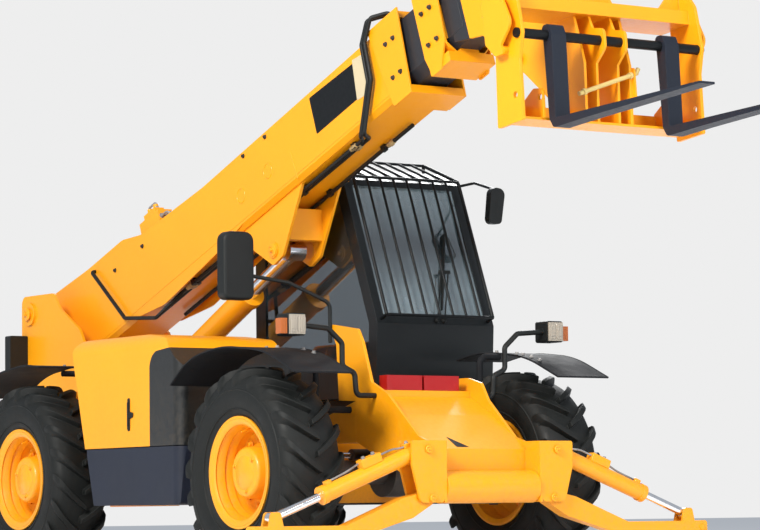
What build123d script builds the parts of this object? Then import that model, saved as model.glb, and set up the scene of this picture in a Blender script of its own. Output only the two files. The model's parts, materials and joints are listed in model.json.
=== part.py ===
from build123d import *
import os
from math import cos, radians, sin, tan

# Telehandler: a rough-terrain lift truck with a cab on its left, an engine on its right, a three-stage
# telescopic boom between them, a fork carriage and two folding front stabiliser legs.
# Millimetres. +X forward, +Y to the left, +Z up. The origin is on the ground, midway along the machine.

# ---------------------------------------------------------------- driving sizes
front_axle_x = 469.0
wheelbase = 2750.0
rear_axle_x = front_axle_x - wheelbase
track = 1870.0
plate_outer = 360.0  # outer face of each long chassis plate, from the centreline
plate_thickness = 20.0
plate_inner = plate_outer - plate_thickness
running_gap = 5.0  # between pieces that move past each other
seat_gap = 0.3  # between pieces that rest on each other
pin_fit = 0.05  # between a pin and its bore, on the radius
barrel_end = 25.0  # solid metal between a ram's eye and its bore

# Wheels
tyre_radius = 620.0
tyre_width = 400.0
lug_height = 42.0
lugs_per_side = 14
lug_slant = 175.0
rim_radius = 305.0
rim_flange_radius = 330.0
rim_width = 350.0
hub_radius = 100.0
kingpin_y = 735.0
kingpin_radius = 28.0
knuckle_height = 330.0
arm_reach = 190.0  # from the axle to the ends of its steering arms
arm_pin_y = kingpin_y - 55

# Boom
boom_pivot_x = rear_axle_x - 1250.0
boom_pivot_z = 1800.0
boom_rest_angle = 20.0
boom_pin_radius = 38.0
boom_wall = 8.0
# Sections of the boom: half width, top and bottom above the line through its pivot, start and end along it
sections = {
    #          half_width,  top, bottom, start,    end
    "outer": (190.0, -40.0, -500.0, 300.0, 4400.0),
    "middle": (163.0, -68.0, -470.0, 450.0, 4980.0),
    "inner": (137.0, -96.0, -440.0, 600.0, 5130.0),
}

boom_fold = {"outer": 28.0, "middle": 60.0, "inner": 60.0}  # width of the slanted corner along each lower edge
pipe_radius = 13.0
pipe_rows = (-112.0, -84.0, 108.0)  # across the boom's underside

tilt_barrel_length, tilt_rod_retracts = 560.0, 67.0
tilt_base_u, tilt_base_v = 4900.0, -230.0  # the tilt ram's base pin, along the boom and above the boom's line

# Carriage
carriage_u, carriage_v = 5590.0, -840.0  # its pivot, along the boom and above the boom's line
carriage_rest_angle = 5.0
carriage_pin_radius = 32.0
tilt_pin_radius = 22.0
carriage_half_width = 640.0
fork_spacing = 794.0
fork_length = 1200.0
# Its pins and shaft, ahead of its pivot and above it
ram_ear_c, ram_ear_h = 60.0, 290.0
shaft_c, shaft_h, shaft_radius = 610.0, -20.0, 28.0
lock_c, lock_h, lock_radius = 555.0, -352.0, 18.0
beam_h = 137.0  # underside of its upper beam

rest_z = 1100.0  # top of the ledge under the rest blocks

# Stabilisers
beam_x = (front_axle_x + 870.0, front_axle_x + 1010.0)  # back and front of the stabiliser frame
leg_pin_y, leg_pin_z, leg_pin_radius = 433.0, 455.0, 22.0
foot_pin_y, foot_pin_z, foot_pin_radius = 1576.0, 268.0, 18.0
leg_ram_base_y, leg_ram_base_z, leg_ram_pin_radius = 460.0, 735.0, 20.0
leg_ram_eye_y, leg_ram_eye_z = 1470.0, 352.0
leg_barrel_length, leg_rod_retracts = 740.0, 257.0

# Tow jaw at the rear
tow_z, tow_gap, tow_pin_radius = 720.0, 60.0, 16.0

# Lift ram
lift_base_x, lift_base_z = front_axle_x - 3200.0, 1080.0
lift_eye_u, lift_eye_v = 2800.0, -760.0
lift_barrel_radius, lift_rod_radius = 82.0, 45.0
lift_barrel_length, lift_rod_retracts = 1740.0, 361.0
lift_pin_radius = 35.0

# Cab and engine cover
cab_y = (245.0, 1145.0)
cab_x = (front_axle_x - 1960.0, front_axle_x - 560.0)
cab_roof_z = 2590.0
cover_y = (-1060.0, -262.0)
cover_z = (800.0, 1500.0)
cover_rear_x, cover_front_x = front_axle_x - 1935, front_axle_x - 760
corner_radius = 70.0  # of the engine cover and the pod under it
cover_hinge_x = (front_axle_x - 1980, front_axle_x - 1330)
cover_hinge_y, cover_hinge_z = cover_y[1] - 50, cover_z[1] - 50
cab_wall = 30.0
screen_foot = (cab_x[1] + 30, 1560.0)
screen_head = (cab_x[1] - 345, 2500.0)
cab_floor_z = 780.0
cab_mount_x = (cab_x[0] + 90, cab_x[1] - 330)
cab_shelf_z = 1100.0  # above this the cab reaches in over the chassis plate
cab_rear_post = 330.0
door_hinge_x, door_hinge_y = cab_x[0] + cab_rear_post - 12, cab_y[1] + 16
door_hinge_heights = (1000.0, 2150.0)


# ---------------------------------------------------------------- making shapes
def outline(*corners):
    """A flat face through corners (a, b), or (a, b, radius) where the corner is rounded."""
    turns = []
    for index, corner in enumerate(corners):
        here = Vector(*corner[:2])
        before = (Vector(*corners[index - 1][:2]) - here).normalized()
        after = (Vector(*corners[(index + 1) % len(corners)][:2]) - here).normalized()
        if len(corner) == 2:
            turns.append((here, here, here))
            continue
        half_angle = radians(before.get_angle(after)) / 2
        setback = corner[2] / tan(half_angle)
        middle = here + (before + after).normalized() * (corner[2] / sin(half_angle) - corner[2])
        turns.append((here + before * setback, middle, here + after * setback))
    edges = []
    for (start, middle, end), (following, _, _) in zip(turns, turns[1:] + turns[:1]):
        if start != end:
            edges.append(ThreePointArc(start, middle, end))
        if (following - end).length > 1e-6:
            edges.append(Line(end, following))
    return make_face(edges)


def plate_xz(y, *corners):
    """A plate between the Y values in y whose outline is given in X and Z."""
    plane = Plane((0, y[1], 0), x_dir=(1, 0, 0), z_dir=(0, -1, 0))
    return extrude(plane * outline(*corners), y[1] - y[0])


def plate_yz(x, *corners):
    """A plate between the X values in x whose outline is given in Y and Z."""
    plane = Plane((x[0], 0, 0), x_dir=(0, 1, 0), z_dir=(1, 0, 0))
    return extrude(plane * outline(*corners), x[1] - x[0])


def plate_xy(z, *corners):
    """A plate between the Z values in z whose outline is given in X and Y."""
    return extrude(Plane((0, 0, z[0])) * outline(*corners), z[1] - z[0])


def block(x, y, z):
    """A box between the two values given along each axis."""
    corner = Pos(x[0], y[0], z[0])
    return corner * Box(x[1] - x[0], y[1] - y[0], z[1] - z[0], align=(Align.MIN,) * 3)


def bar(start, end, radius, bore=0.0):
    """A round bar or tube from one point to another."""
    axis = Vector(*end) - Vector(*start)
    plane = Plane(origin=start, z_dir=axis)
    ends = (Align.CENTER, Align.CENTER, Align.MIN)
    solid = plane * Cylinder(radius, axis.length, align=ends)
    return solid - plane * Cylinder(bore, axis.length, align=ends) if bore else solid


def cross_bar(x, z, half_length, radius, bore=0.0):
    """A round bar across the machine, centred on it."""
    return bar((x, -half_length, z), (x, half_length, z), radius, bore)


def bent_tube(points, radius, bend):
    """A round tube along straight runs joined by arcs."""
    path = FilletPolyline(*points, radius=bend) if len(points) > 2 else Line(*points)
    return sweep(Plane(origin=path @ 0, z_dir=path % 0) * Circle(radius), path)


def both_sides(solid):
    """A piece and its mirror image across the centreline, together."""
    return solid + mirror(solid, about=Plane.XZ)


def flipped(solid):
    """The mirror image of a piece across the centreline."""
    return mirror(solid, about=Plane.XZ)


boom_place = Pos(boom_pivot_x, 0, boom_pivot_z) * Rot(0, -boom_rest_angle, 0)
carriage_place = boom_place * Pos(carriage_u, 0, carriage_v) * Rot(0, boom_rest_angle - carriage_rest_angle, 0)


def on_boom(u, v):
    """Where a point of the boom's own frame stands in X and Z."""
    angle = radians(boom_rest_angle)
    x = boom_pivot_x + u * cos(angle) - v * sin(angle)
    return x, boom_pivot_z + u * sin(angle) + v * cos(angle)


# ---------------------------------------------------------------- wheels and axles
def tyre(slant):
    """A tyre about the origin, its axle along Y, with two rows of lugs whose outer ends lead by slant."""
    half = tyre_width / 2
    carcass = tyre_radius - lug_height
    bead = rim_width / 2 - 15
    side = [
        (-bead, rim_radius + seat_gap),
        (-bead, rim_flange_radius + 6),
        (-half, 410),
        (-half, 500),
        (-half + 45, carcass),
    ]
    profile = side + [(-y, r) for y, r in reversed(side)]
    body = revolve(Plane.XY * outline(*[(r, y) for y, r in profile]), Axis.Y)
    lug_foot, lug_tip = 62.0, 40.0
    crown = revolve(
        Plane.XY * outline((carcass - 30, -half), (tyre_radius, -half * 0.35), (tyre_radius, half * 0.35), (carcass - 30, half)),
        Axis.Y,
    )
    lugs = []
    for row in (1, -1):
        for index in range(lugs_per_side):
            angle = 360 / lugs_per_side * (index + (0.5 if row > 0 else 0.0))
            foot = outline((0, -row * 12), (lug_tip, -row * 12), (lug_foot + slant, row * half), (slant, row * half))
            prism = extrude(Plane((0, 0, carcass - 60)) * foot, 120)
            lugs.append(Rot(0, angle, 0) * (prism & crown))
    return body + lugs


def rim():
    """A dished steel wheel about the origin, its outer side towards +Y, with the axle's hub in its middle."""
    half = rim_width / 2
    section = outline(
        (hub_radius - 30, -12),
        (262, -12),
        (290, -60),
        (290, -half + 12),
        (rim_flange_radius - 12, -half),
        (rim_flange_radius, -half),
        (rim_flange_radius, -half + 12),
        (rim_radius, -half + 14),
        (rim_radius, half - 14),
        (rim_flange_radius, half - 12),
        (rim_flange_radius, half),
        (rim_flange_radius - 14, half),
        (290, half - 18),
        (278, half - 70),
        (262, 55),
        (248, 6),
        (150, 6),
        (150, 22),
        (hub_radius, 22),
        (hub_radius, 88),
        (hub_radius - 25, 104),
        (0, 104),
        (0, -12),
    )
    wheel = revolve(Plane.XY * section, Axis.Y)
    holes = [
        Rot(0, 45 * index, 0) * bar((0, -30, 198), (0, 30, 198), 21) for index in range(8)
    ]
    return wheel - holes


def axle(axle_x, arm_direction):
    """A drive axle: a bowl for its gears, two tapered tubes, and a fork that holds each kingpin."""
    z = tyre_radius
    fork_half = knuckle_height / 2
    bowl = Pos(axle_x, 0, z) * Rot(90, 0, 0) * Cylinder(150, 190)
    nose = bar((axle_x, 0, z), (axle_x + arm_direction * 235, 0, z), 78)
    solid = bowl + nose + cross_bar(axle_x, z, kingpin_y - 150, 72)
    fork = plate_xz(
        (kingpin_y - 175, kingpin_y - 120),
        (axle_x - 70, z - fork_half - 30, 20), (axle_x + 70, z - fork_half - 30, 20),
        (axle_x + 84, z), (axle_x + 70, z + fork_half + 30, 20), (axle_x - 70, z + fork_half + 30, 20), (axle_x - 84, z),
    )
    for low, high in ((-fork_half - 30, -fork_half), (fork_half, fork_half + 30)):
        ear = plate_xy(
            (z + low, z + high),
            (axle_x - 60, kingpin_y - 150), (axle_x + 60, kingpin_y - 150),
            (axle_x + 45, kingpin_y + 45, 40), (axle_x - 45, kingpin_y + 45, 40),
        )
        fork += ear - bar((axle_x, kingpin_y, z + low - 5), (axle_x, kingpin_y, z + high + 5), kingpin_radius + pin_fit)
    ram_x = axle_x + arm_direction * arm_reach
    barrel = cross_bar(ram_x, z + 105, 190, 38)
    saddle = block(sorted((axle_x + arm_direction * 100, ram_x)), (-120, 120), (z + 60, z + 95))
    solid += barrel + saddle
    return solid + both_sides(fork) - cross_bar(ram_x, z + 105, 200, 17.05)


def knuckle(axle_x, arm_direction):
    """The left steering knuckle: a body between the fork's ears, a stub for the hub and a steering arm."""
    z = tyre_radius
    reach = knuckle_height / 2 - running_gap
    body = bar((axle_x, kingpin_y, z - reach), (axle_x, kingpin_y, z + reach), 52)
    body += bar((axle_x, kingpin_y, z - reach - 42), (axle_x, kingpin_y, z + reach + 42), kingpin_radius)
    stub = bar((axle_x, kingpin_y, z), (axle_x, track / 2 - 12 - seat_gap, z), 88)
    arm = plate_xy(
        (z + 40, z + 66),
        (axle_x + arm_direction * 30, kingpin_y - 20), (axle_x - arm_direction * 30, kingpin_y - 20),
        (axle_x + arm_direction * (arm_reach + 28), arm_pin_y + 26, 20), (axle_x + arm_direction * (arm_reach + 28), arm_pin_y - 26, 20),
    )
    return body + stub + arm


def tie_rod(axle_x, arm_direction):
    """The bar that slides through the axle's steering ram and ends over both steering arms."""
    x = axle_x + arm_direction * arm_reach
    z = tyre_radius + 105
    solid = cross_bar(x, z, arm_pin_y, 17)
    for side in (1, -1):
        solid += bar((x, side * arm_pin_y, z - 18), (x, side * arm_pin_y, z + 18), 26)
    return solid


# ---------------------------------------------------------------- chassis
def chassis():
    """Two long plates, notched over the axles, tied by cross members and a belly plate."""
    rear = rear_axle_x - 1510
    front = front_axle_x + 120
    ram_lug = plate_xz(
        (plate_inner, plate_outer), (lift_base_x - 160, 900), (lift_base_x + 160, 900),
        (lift_base_x + 60, lift_base_z + 60, 40), (lift_base_x - 60, lift_base_z + 60, 40),
    )
    over_axle = tyre_radius + 175
    under = 440.0
    top = 905.0
    side = plate_xz(
        (plate_inner, plate_outer),
        (rear, 560), (rear + 150, under), (rear_axle_x - 420, under), (rear_axle_x - 230, over_axle, 60),
        (rear_axle_x + 230, over_axle, 60), (rear_axle_x + 420, under), (front_axle_x - 420, under),
        (front_axle_x - 230, over_axle, 60), (front, over_axle), (front, 1040), (front_axle_x - 400, top), (rear, top),
    )
    solid = both_sides(side + ram_lug) + cross_bar(lift_base_x, lift_base_z, plate_outer + 8, lift_pin_radius)
    ties = (
        # x low, x high, z low, z high
        (rear_axle_x - 1500, rear_axle_x - 900, 560, 880),
        (rear_axle_x - 480, rear_axle_x - 440, 470, 900),
        (rear_axle_x + 440, rear_axle_x + 480, 690, 850),
        (front_axle_x - 480, front_axle_x - 440, 690, 850),
        (rear_axle_x - 150, rear_axle_x + 150, over_axle, over_axle + 30),
        (front_axle_x - 150, front_axle_x + 110, over_axle, over_axle + 30),
    )
    for x_low, x_high, z_low, z_high in ties:
        solid += block((x_low, x_high), (-plate_inner, plate_inner), (z_low, z_high))
    jaw = plate_xy(
        (tow_z - tow_gap / 2 - 20, tow_z + tow_gap / 2 + 20),
        (rear - 110, -60, 40), (rear + 15, -90), (rear + 15, 90), (rear - 110, 60, 40),
    )
    jaw -= block((rear - 200, rear - 15), (-100, 100), (tow_z - tow_gap / 2, tow_z + tow_gap / 2))
    for x in cab_mount_x:
        solid += block((x - 45, x + 45), (plate_outer - 2, plate_outer + 130), (cab_floor_z - seat_gap - 60, cab_floor_z - seat_gap))
    return solid + cover_posts() + jaw - bar((rear - 65, 0, tow_z - 100), (rear - 65, 0, tow_z + 100), tow_pin_radius)


def boom_tower():
    """The rear tower: two tall plates with the pin that the boom turns on."""
    x, z = boom_pivot_x, boom_pivot_z
    plate = plate_xz(
        (plate_inner, plate_outer),
        (x - 130, 905), (x + 625, 905), (x + 625, 1160), (x + 794, 1400, 80), (x + 794, 1544, 60), (x + 710, 1659, 60), (x + 437, z + 13, 120), (x + 335, z + 130, 40), (x - 100, z + 130, 50), (x - 130, z + 90, 40),
    )
    boss = bar((x, plate_outer, z), (x, plate_outer + 16, z), 80)
    tie = block((x - 130, x - 110), (-plate_inner, plate_inner), (905, 1450))
    pin = cross_bar(x, z, plate_outer + 30, boom_pin_radius)
    return both_sides(plate + boss) + tie + pin


def front_frame():
    """The front trough and the stabiliser frame: side plates, sloping floor, beam and leg brackets."""
    x = front_axle_x
    right = plate_xz(
        (-plate_outer, -plate_inner),
        (x + 120.5, 800), (x + 700, 560), (x + 870, 440), (x + 870, 780), (x + 765, 816), (x + 453, 1072),
        (x + 287, 1147), (x + 196, 1390, 40), (x + 144, 1470, 20), (x - 160, 1515, 20), (x - 84, 1385),
        (x - 60, 1050), (x + 120.5, 1040),
    )
    left = plate_xz(
        (plate_inner, plate_outer),
        (x + 120.5, 800), (x + 700, 560), (x + 870, 440), (x + 870, 780), (x + 754, 813), (x + 490, 1041),
        (x + 422, 1146, 20), (x + 290, 1181, 10), (x + 150, 1181), (x + 120.5, 1040),
    )
    floor = plate_xz(
        (-plate_inner, plate_inner),
        (x + 300, 1060), (x + 330, 1060), (x + 545, 948), (x + 870, 740), (x + 870, 700), (x + 520, 910), (x + 300, 1020),
    )
    beam = block((x + 850, x + 870), (-plate_inner, plate_inner), (440, 740))
    tube = cross_bar(x + 930, 520, 330, 95)
    bracket_outline = (
        (350, 430, 25), (515, 430, 40), (573, 640), (573, 785, 15), (350, 785),
    )
    solid = right + left + floor + beam + tube
    for back, front in ((beam_x[0], beam_x[0] + 18), (beam_x[1] - 18, beam_x[1])):
        solid += both_sides(plate_yz((back, front), *bracket_outline))
    inner_web = block(beam_x, (332, 350), (430, 785))
    rest = block((x + 225, x + 315), (-plate_inner, plate_inner), (1045, rest_z))
    pins = (
        # across, height, radius
        (leg_pin_y, leg_pin_z, leg_pin_radius),
        (leg_ram_base_y, leg_ram_base_z, leg_ram_pin_radius),
    )
    for y, z, radius in pins:
        solid += both_sides(bar((beam_x[0] - 8, y, z), (beam_x[1] + 8, y, z), radius))
    return solid + both_sides(inner_web) + rest


def cover_posts():
    """The bulkhead beside the engine, with two posts for the pins of the engine cover's hinges."""
    x = front_axle_x
    posts = plate_xz(
        (-plate_outer, -plate_inner), (x - 1960, 890), (x - 890, 890), (x - 890, cover_z[1] - 240), (x - 1200, cover_z[1] - 90), (x - 1960, cover_z[1] - 90),
    )
    for x in cover_hinge_x:
        post = plate_yz(
            (x - 8, x + 8), (-plate_outer, 880), (-plate_inner, 880), (cover_hinge_y + 16, cover_hinge_z, 14),
            (cover_hinge_y + 8, cover_hinge_z + 18, 10), (cover_hinge_y - 16, cover_hinge_z + 10, 10), (-plate_outer, cover_hinge_z - 120),
        )
        post += bar((x - 8, cover_hinge_y, cover_hinge_z), (x + 34, cover_hinge_y, cover_hinge_z), 10)
        posts += post
    return posts


def engine_block():
    """The engine and its gearbox, as one plain block on two mounts from the chassis plate."""
    x_rear, x_front = front_axle_x - 1790, front_axle_x - 1120
    solid = block((x_rear, x_front), (-930, -plate_outer - 40), (580, 1290))
    for x in (x_rear + 120, x_front - 120):
        solid += block((x - 50, x + 50), (-plate_outer - 42, -plate_outer - 14 - 2 * seat_gap), (660, 780))
    return solid


def engine_pod():
    """The tray under the engine, hung on the chassis plate."""
    x_rear, x_front = cover_rear_x, cover_front_x
    outer, inner = cover_y[0], -plate_outer - seat_gap
    tray = plate_xz((outer, inner), (x_rear + 110, 440, 15), (x_front - 20, 440, 20), (x_front, 795), (x_rear + 15, 795))
    tray = tray & plate_xy((430, 800), (x_rear, outer, 30), (x_front, outer, corner_radius), (x_front, inner), (x_rear, inner))
    return tray - plate_xz((outer + 14, inner - 14), (x_rear + 140, 460), (x_front - 40, 460), (x_front - 30, 800), (x_rear + 45, 800))


def engine_cover():
    """The hood over the engine, hinged along its inner top edge."""
    low, high = cover_z
    outer, inner = cover_y
    rear, front = cover_rear_x, cover_front_x

    def crowned(thick):
        """A solid of the cover's form, smaller by thick on every side but the inner one."""
        side = plate_xz(
            (outer - 1, inner + thick), (rear + thick, low - thick), (front - thick, low - thick), (front - thick, high - 220, 60),
            (front - 170, high - 40 - thick, 150), (front - 520, high - thick, 400), (rear - 190 + thick, high - thick, 70),
        )
        across = plate_yz(
            (rear - 300, front + 10), (outer + thick, low - 20), (outer + thick, high - thick, 110 - thick),
            (inner + thick + 1, high - thick), (inner + thick + 1, low - 20),
        )
        above = plate_xy(
            (low - 20, high + 10), (rear - 300, outer + thick), (front - thick, outer + thick, corner_radius - thick),
            (front - thick, inner + thick + 1), (rear - 300, inner + thick + 1),
        )
        return side & across & above

    shape = crowned(0)
    hollow = crowned(12)
    over_chassis = block((rear - 300, front + 20), (-plate_outer - 20, inner + 1), (low - 20, 1060))
    solid = shape - hollow - over_chassis
    for lug_x in cover_hinge_x:
        lug = plate_yz(
            (lug_x + 16, lug_x + 28), (cover_hinge_y - 20, high - 11), (cover_hinge_y + 20, high - 11),
            (cover_hinge_y + 20, cover_hinge_z - 20, 12), (cover_hinge_y - 20, cover_hinge_z - 20, 12),
        )
        solid += lug - bar((lug_x, cover_hinge_y, cover_hinge_z), (lug_x + 40, cover_hinge_y, cover_hinge_z), 10 + pin_fit)
    return solid


def counterweight():
    """The cast weight behind the rear axle."""
    x = rear_axle_x
    return plate_xz(
        (-plate_inner + seat_gap, plate_inner - seat_gap), (x - 890, 470), (x - 500, 470), (x - 500, 860), (x - 890, 860),
    )


# ---------------------------------------------------------------- boom
def boom_box(name, wall=boom_wall):
    """One hollow stage of the boom, in the boom's own frame."""
    half, top, bottom, start, end = sections[name]
    fold = boom_fold[name]
    solid = plate_yz((start, end), (-half, top), (half, top), (half, bottom + fold), (half - fold, bottom), (-half + fold, bottom), (-half, bottom + fold))
    slack = wall * 0.4
    inside = plate_yz(
        (start - 1, end + 1), (-half + wall, top - wall), (half - wall, top - wall), (half - wall, bottom + fold + slack),
        (half - fold - slack, bottom + wall), (-half + fold + slack, bottom + wall), (-half + wall, bottom + fold + slack),
    )
    return solid - inside


def wear_pads(u, around, within):
    """Blocks that guide one stage in the next, at u: from each face of one outline to each face of the other."""
    (half, top, bottom), (outer_half, outer_top, outer_bottom) = around, within
    middle = (top + bottom) / 2
    pads = block(u, (-half + 50, half - 50), (top, outer_top)) + block(u, (-half + 70, half - 70), (outer_bottom, bottom))
    return pads + both_sides(block(u, (half, outer_half), (middle - 110, middle + 110)))


def boom_outer():
    """The outer stage: its box, the tail plates round the pivot, the ram's bracket and the front collar."""
    half, top, bottom, start, end = sections["outer"]
    solid = boom_box("outer")
    tail = plate_xz(
        (half - boom_wall, half),
        (-110, 70, 60), (60, 124, 40), (600, 88, 300), (1110, 80, 200), (1360, 6, 300), (2200, top), (2600, top - 60), (2600, bottom + 30), (2300, bottom - 15),
        (1480, bottom - 62, 200), (1080, bottom + 6, 120), (760, -400, 60), (560, -215, 80), (-60, -200, 60), (-130, -60, 60),
    )
    solid += both_sides(tail)
    solid += cross_bar(0, 0, half, 75) + block((200, 215), (-half, half), (-205, 64)) + block((200, 320), (-half, half), (56, 64)) + block((312, 1100), (-half, half), (56, 64)) + both_sides(bar((0, half - 40, 0), (0, half, 0), 115))
    solid -= cross_bar(0, 0, half + 20, boom_pin_radius + pin_fit)
    bracket = plate_xz(
        (130, 150), (2420, bottom + 2), (3260, bottom + 2), (lift_eye_u + 85, lift_eye_v - 75, 40), (lift_eye_u - 40, lift_eye_v - 90, 40),
    )
    web = plate_xz((-131, 131), (2990, bottom - 60), (3010, bottom - 60), (2950, lift_eye_v + 10), (2930, lift_eye_v + 10))
    boss = bar((lift_eye_u, 124, lift_eye_v), (lift_eye_u, 158, lift_eye_v), 52)
    solid += both_sides(bracket + boss) + web
    collar = plate_xz((half, half + 12), (4310, 0), (4640, 0), (4600, -548), (4405, -548, 20), (4350, -260))
    middle_half, middle_top, middle_bottom = sections["middle"][:3]
    solid += wear_pads(
        (end - 90, end - 5), (middle_half + seat_gap, middle_top + seat_gap, middle_bottom - seat_gap),
        (half - boom_wall / 2, top - boom_wall / 2, bottom + boom_wall / 2),
    )
    solid += both_sides(collar) + block((4400, 4600), (-half, half), (-548, bottom + boom_wall / 2)) + block((4400, 4600), (-half, half), (top - boom_wall / 2, 0))
    return boom_place * solid


def boom_pipes():
    """The hoses and the pipe under the boom with their clamps; both hoses end on top of its front collar."""
    half, top, bottom = sections["outer"][:3]
    level = bottom - pipe_radius - 12
    beside = half + pipe_radius + 20
    near_row, middle_row, far_row = pipe_rows
    from_tail = [(690, -half - seat_gap, 30), (690, -beside, 30), (1010, -beside, -460), (1400, -beside, bottom - 125), (1600, near_row, level)]
    from_clamp = [(1250, middle_row, level)]
    pipes = bar((1250, far_row, level), (4150, far_row, level), pipe_radius)
    for start, row, ahead in ((from_tail, near_row, 0), (from_clamp, middle_row, 36)):
        to_collar = [
            (3910 + ahead, row, level), (4050 + ahead, -beside, level - 50), (4240 + ahead, -beside, -300),
            (4255 + ahead, -beside, -60), (4350 + ahead, -beside + 10, 60), (4440 + ahead, -120, 60), (4440 + ahead, -120, seat_gap),
        ]
        pipes += bent_tube(start + to_collar, pipe_radius, 32)
    for u in (1750, 2350, 3150, 3800):
        for row in pipe_rows:
            pipes += block((u, u + 40), (row - 14, row + 14), (level - 15, bottom - seat_gap))
    return boom_place * pipes


def valve_block():
    """The valve block on top of the boom behind its middle."""
    solid = block((1300, 1560), (-150, -40), (sections["outer"][1] + seat_gap, 110)) + block((1350, 1500), (-135, -60), (100, 150))
    for u in (1385, 1465):
        solid += bar((u, -98, 140), (u, -98, 185), 18)
    return boom_place * solid


def boom_middle():
    """The middle stage with its front collar."""
    half, top, bottom, start, end = sections["middle"]
    solid = boom_box("middle")
    outer_half, outer_top, outer_bottom = sections["outer"][:3]
    inner_half, inner_top, inner_bottom = sections["inner"][:3]
    room = boom_wall + seat_gap
    solid += wear_pads((start, start + 70), (half - 4, top - 4, bottom + 4), (outer_half - room, outer_top - room, outer_bottom + room))
    solid += wear_pads(
        (end - 90, end - 5), (inner_half + seat_gap, inner_top + seat_gap, inner_bottom - seat_gap),
        (half - boom_wall / 2, top - boom_wall / 2, bottom + boom_wall / 2),
    )
    collar = plate_xz((half, half + 12), (4765, -20), (5010, -20), (4985, -390), (4890, -545, 10), (4800, -545, 10), (4762, -416))
    solid += both_sides(collar) + block((4770, 4980), (-half, half), (-530, bottom + boom_wall / 2)) + block((4770, 4980), (-half, half), (top - boom_wall / 2, -20))
    return boom_place * solid


def boom_inner():
    """The inner stage with the nose that carries the carriage."""
    half, top, bottom, start, end = sections["inner"]
    solid = boom_box("inner")
    middle_half, middle_top, middle_bottom = sections["middle"][:3]
    room = boom_wall + seat_gap
    solid += wear_pads((start, start + 70), (half - 4, top - 4, bottom + 4), (middle_half - room, middle_top - room, middle_bottom + room))
    nose = plate_xz(
        (113, 133), (5020, -100), (5330, -160, 60), (5560, -420), (5665, -760, 60), (5650, -900, 50), (5530, -900, 50), (5280, -520), (5020, -430),
    )
    solid += both_sides(nose) + cross_bar(carriage_u, carriage_v, 185, carriage_pin_radius)
    solid += cross_bar(tilt_base_u, tilt_base_v, half - 1, tilt_pin_radius)
    solid += block((5100, 5125), (-113, 113), (-150, -110))
    return boom_place * solid


# ---------------------------------------------------------------- carriage
def carriage():
    """The fork carriage in its own frame, its origin on its pivot: c forward, h up."""
    width = carriage_half_width
    wall = 20.0
    side = plate_xz(
        (width - wall, width),
        (385, 400, 20), (500, 400, 40), (612, 230, 40), (632, 110, 20), (650, -20, 30), (612, -160, 20), (606, -500, 10), (378, -505, 10), (400, -110, 30),
    )
    ear = plate_xz(
        (width + 34, width + 50),
        (370, 260, 50), (470, 290, 60), (560, 170, 60), (622, 30, 60), (560, -30, 20), (515, -74, 20), (540, -125, 15), (460, -125, 20), (380, -45, 30),
    )
    ear_bolt = bar((440, width - 2, 60), (440, width + 36, 60), 45) + bar((505, width - 2, -95), (505, width + 36, -95), 22)
    solid = both_sides(side + ear + ear_bolt)
    beam = block((290, 560), (-width + 2, width - 2), (beam_h, beam_h + 78)) - block((298, 552), (-width + 22, width - 22), (beam_h + 8, beam_h + 70))
    gusset = plate_yz((470, 486), (width - 10, beam_h + 60), (width - 10, 350), (width - 70, 350, 20), (width - 190, beam_h + 72))
    sill = plate_xz((-width + 2, width - 2), (384, -370), (396, -370), (396, -466), (556, -466), (556, -480), (384, -480))
    lock_lug = plate_xz((458, 474), (388, -470), (388, -360), (500, -295, 25), (578, -310, 20), (578, -470))
    solid += beam + sill + both_sides(gusset + lock_lug)
    outer_rib = plate_xz(
        (150, 168),
        (-40, -40, 30), (-40, 40, 30), (100, 360, 20), (380, 360, 40), (500, beam_h + 20), (548, -30), (572, -140), (556, -470), (390, -470), (330, -360, 20), (-10, -50),
    )
    inner_rib = plate_xz(
        (66, 82),
        (320, beam_h + 20), (520, beam_h + 20), (560, 60, 20), (shaft_c + 48, 40, 40), (shaft_c + 48, -70, 40), (572, -140), (552, -470), (390, -470), (330, -300, 20),
    )
    locking_bar = bar((572, -215, -320), (572, 205, -177), 11)
    latch = plate_xz((168, 178), (545, -150, 15), (592, -150, 15), (592, -330, 20), (545, -330, 20))
    solid += both_sides(outer_rib + inner_rib) + locking_bar + latch
    solid -= cross_bar(0, 0, 200, carriage_pin_radius + pin_fit)
    solid -= cross_bar(ram_ear_c, ram_ear_h, 200, tilt_pin_radius + pin_fit)
    solid -= cross_bar(shaft_c, shaft_h, width + 10, shaft_radius + pin_fit)
    solid -= both_sides(bar((lock_c, 440, lock_h), (lock_c, width + 10, lock_h), lock_radius))
    return carriage_place * solid


def fork(side):
    """One tine on its shaft: a hook, a shank and a tapered blade."""
    y = side * fork_spacing / 2
    half = 50.0
    blade = plate_xz(
        (y - half, y + half),
        (575, 40, 25), (640, 40, 25), (660, -20), (645, -482, 10), (760, -487), (650 + fork_length, -535), (650 + fork_length, -547),
        (900, -534), (620, -534, 30), (590, -480), (585, -60),
    )
    blade -= bar((shaft_c, y - half - 5, shaft_h), (shaft_c, y + half + 5, shaft_h), shaft_radius + 0.1)
    return carriage_place * blade


def fork_shaft():
    return carriage_place * cross_bar(shaft_c, shaft_h, carriage_half_width + 12, shaft_radius)


# ---------------------------------------------------------------- rams
def lift_points():
    """The lift ram's base pin and its eye, in X and Z."""
    eye_x, eye_z = on_boom(lift_eye_u, lift_eye_v)
    return Vector(lift_base_x, 0, lift_base_z), Vector(eye_x, 0, eye_z)


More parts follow.
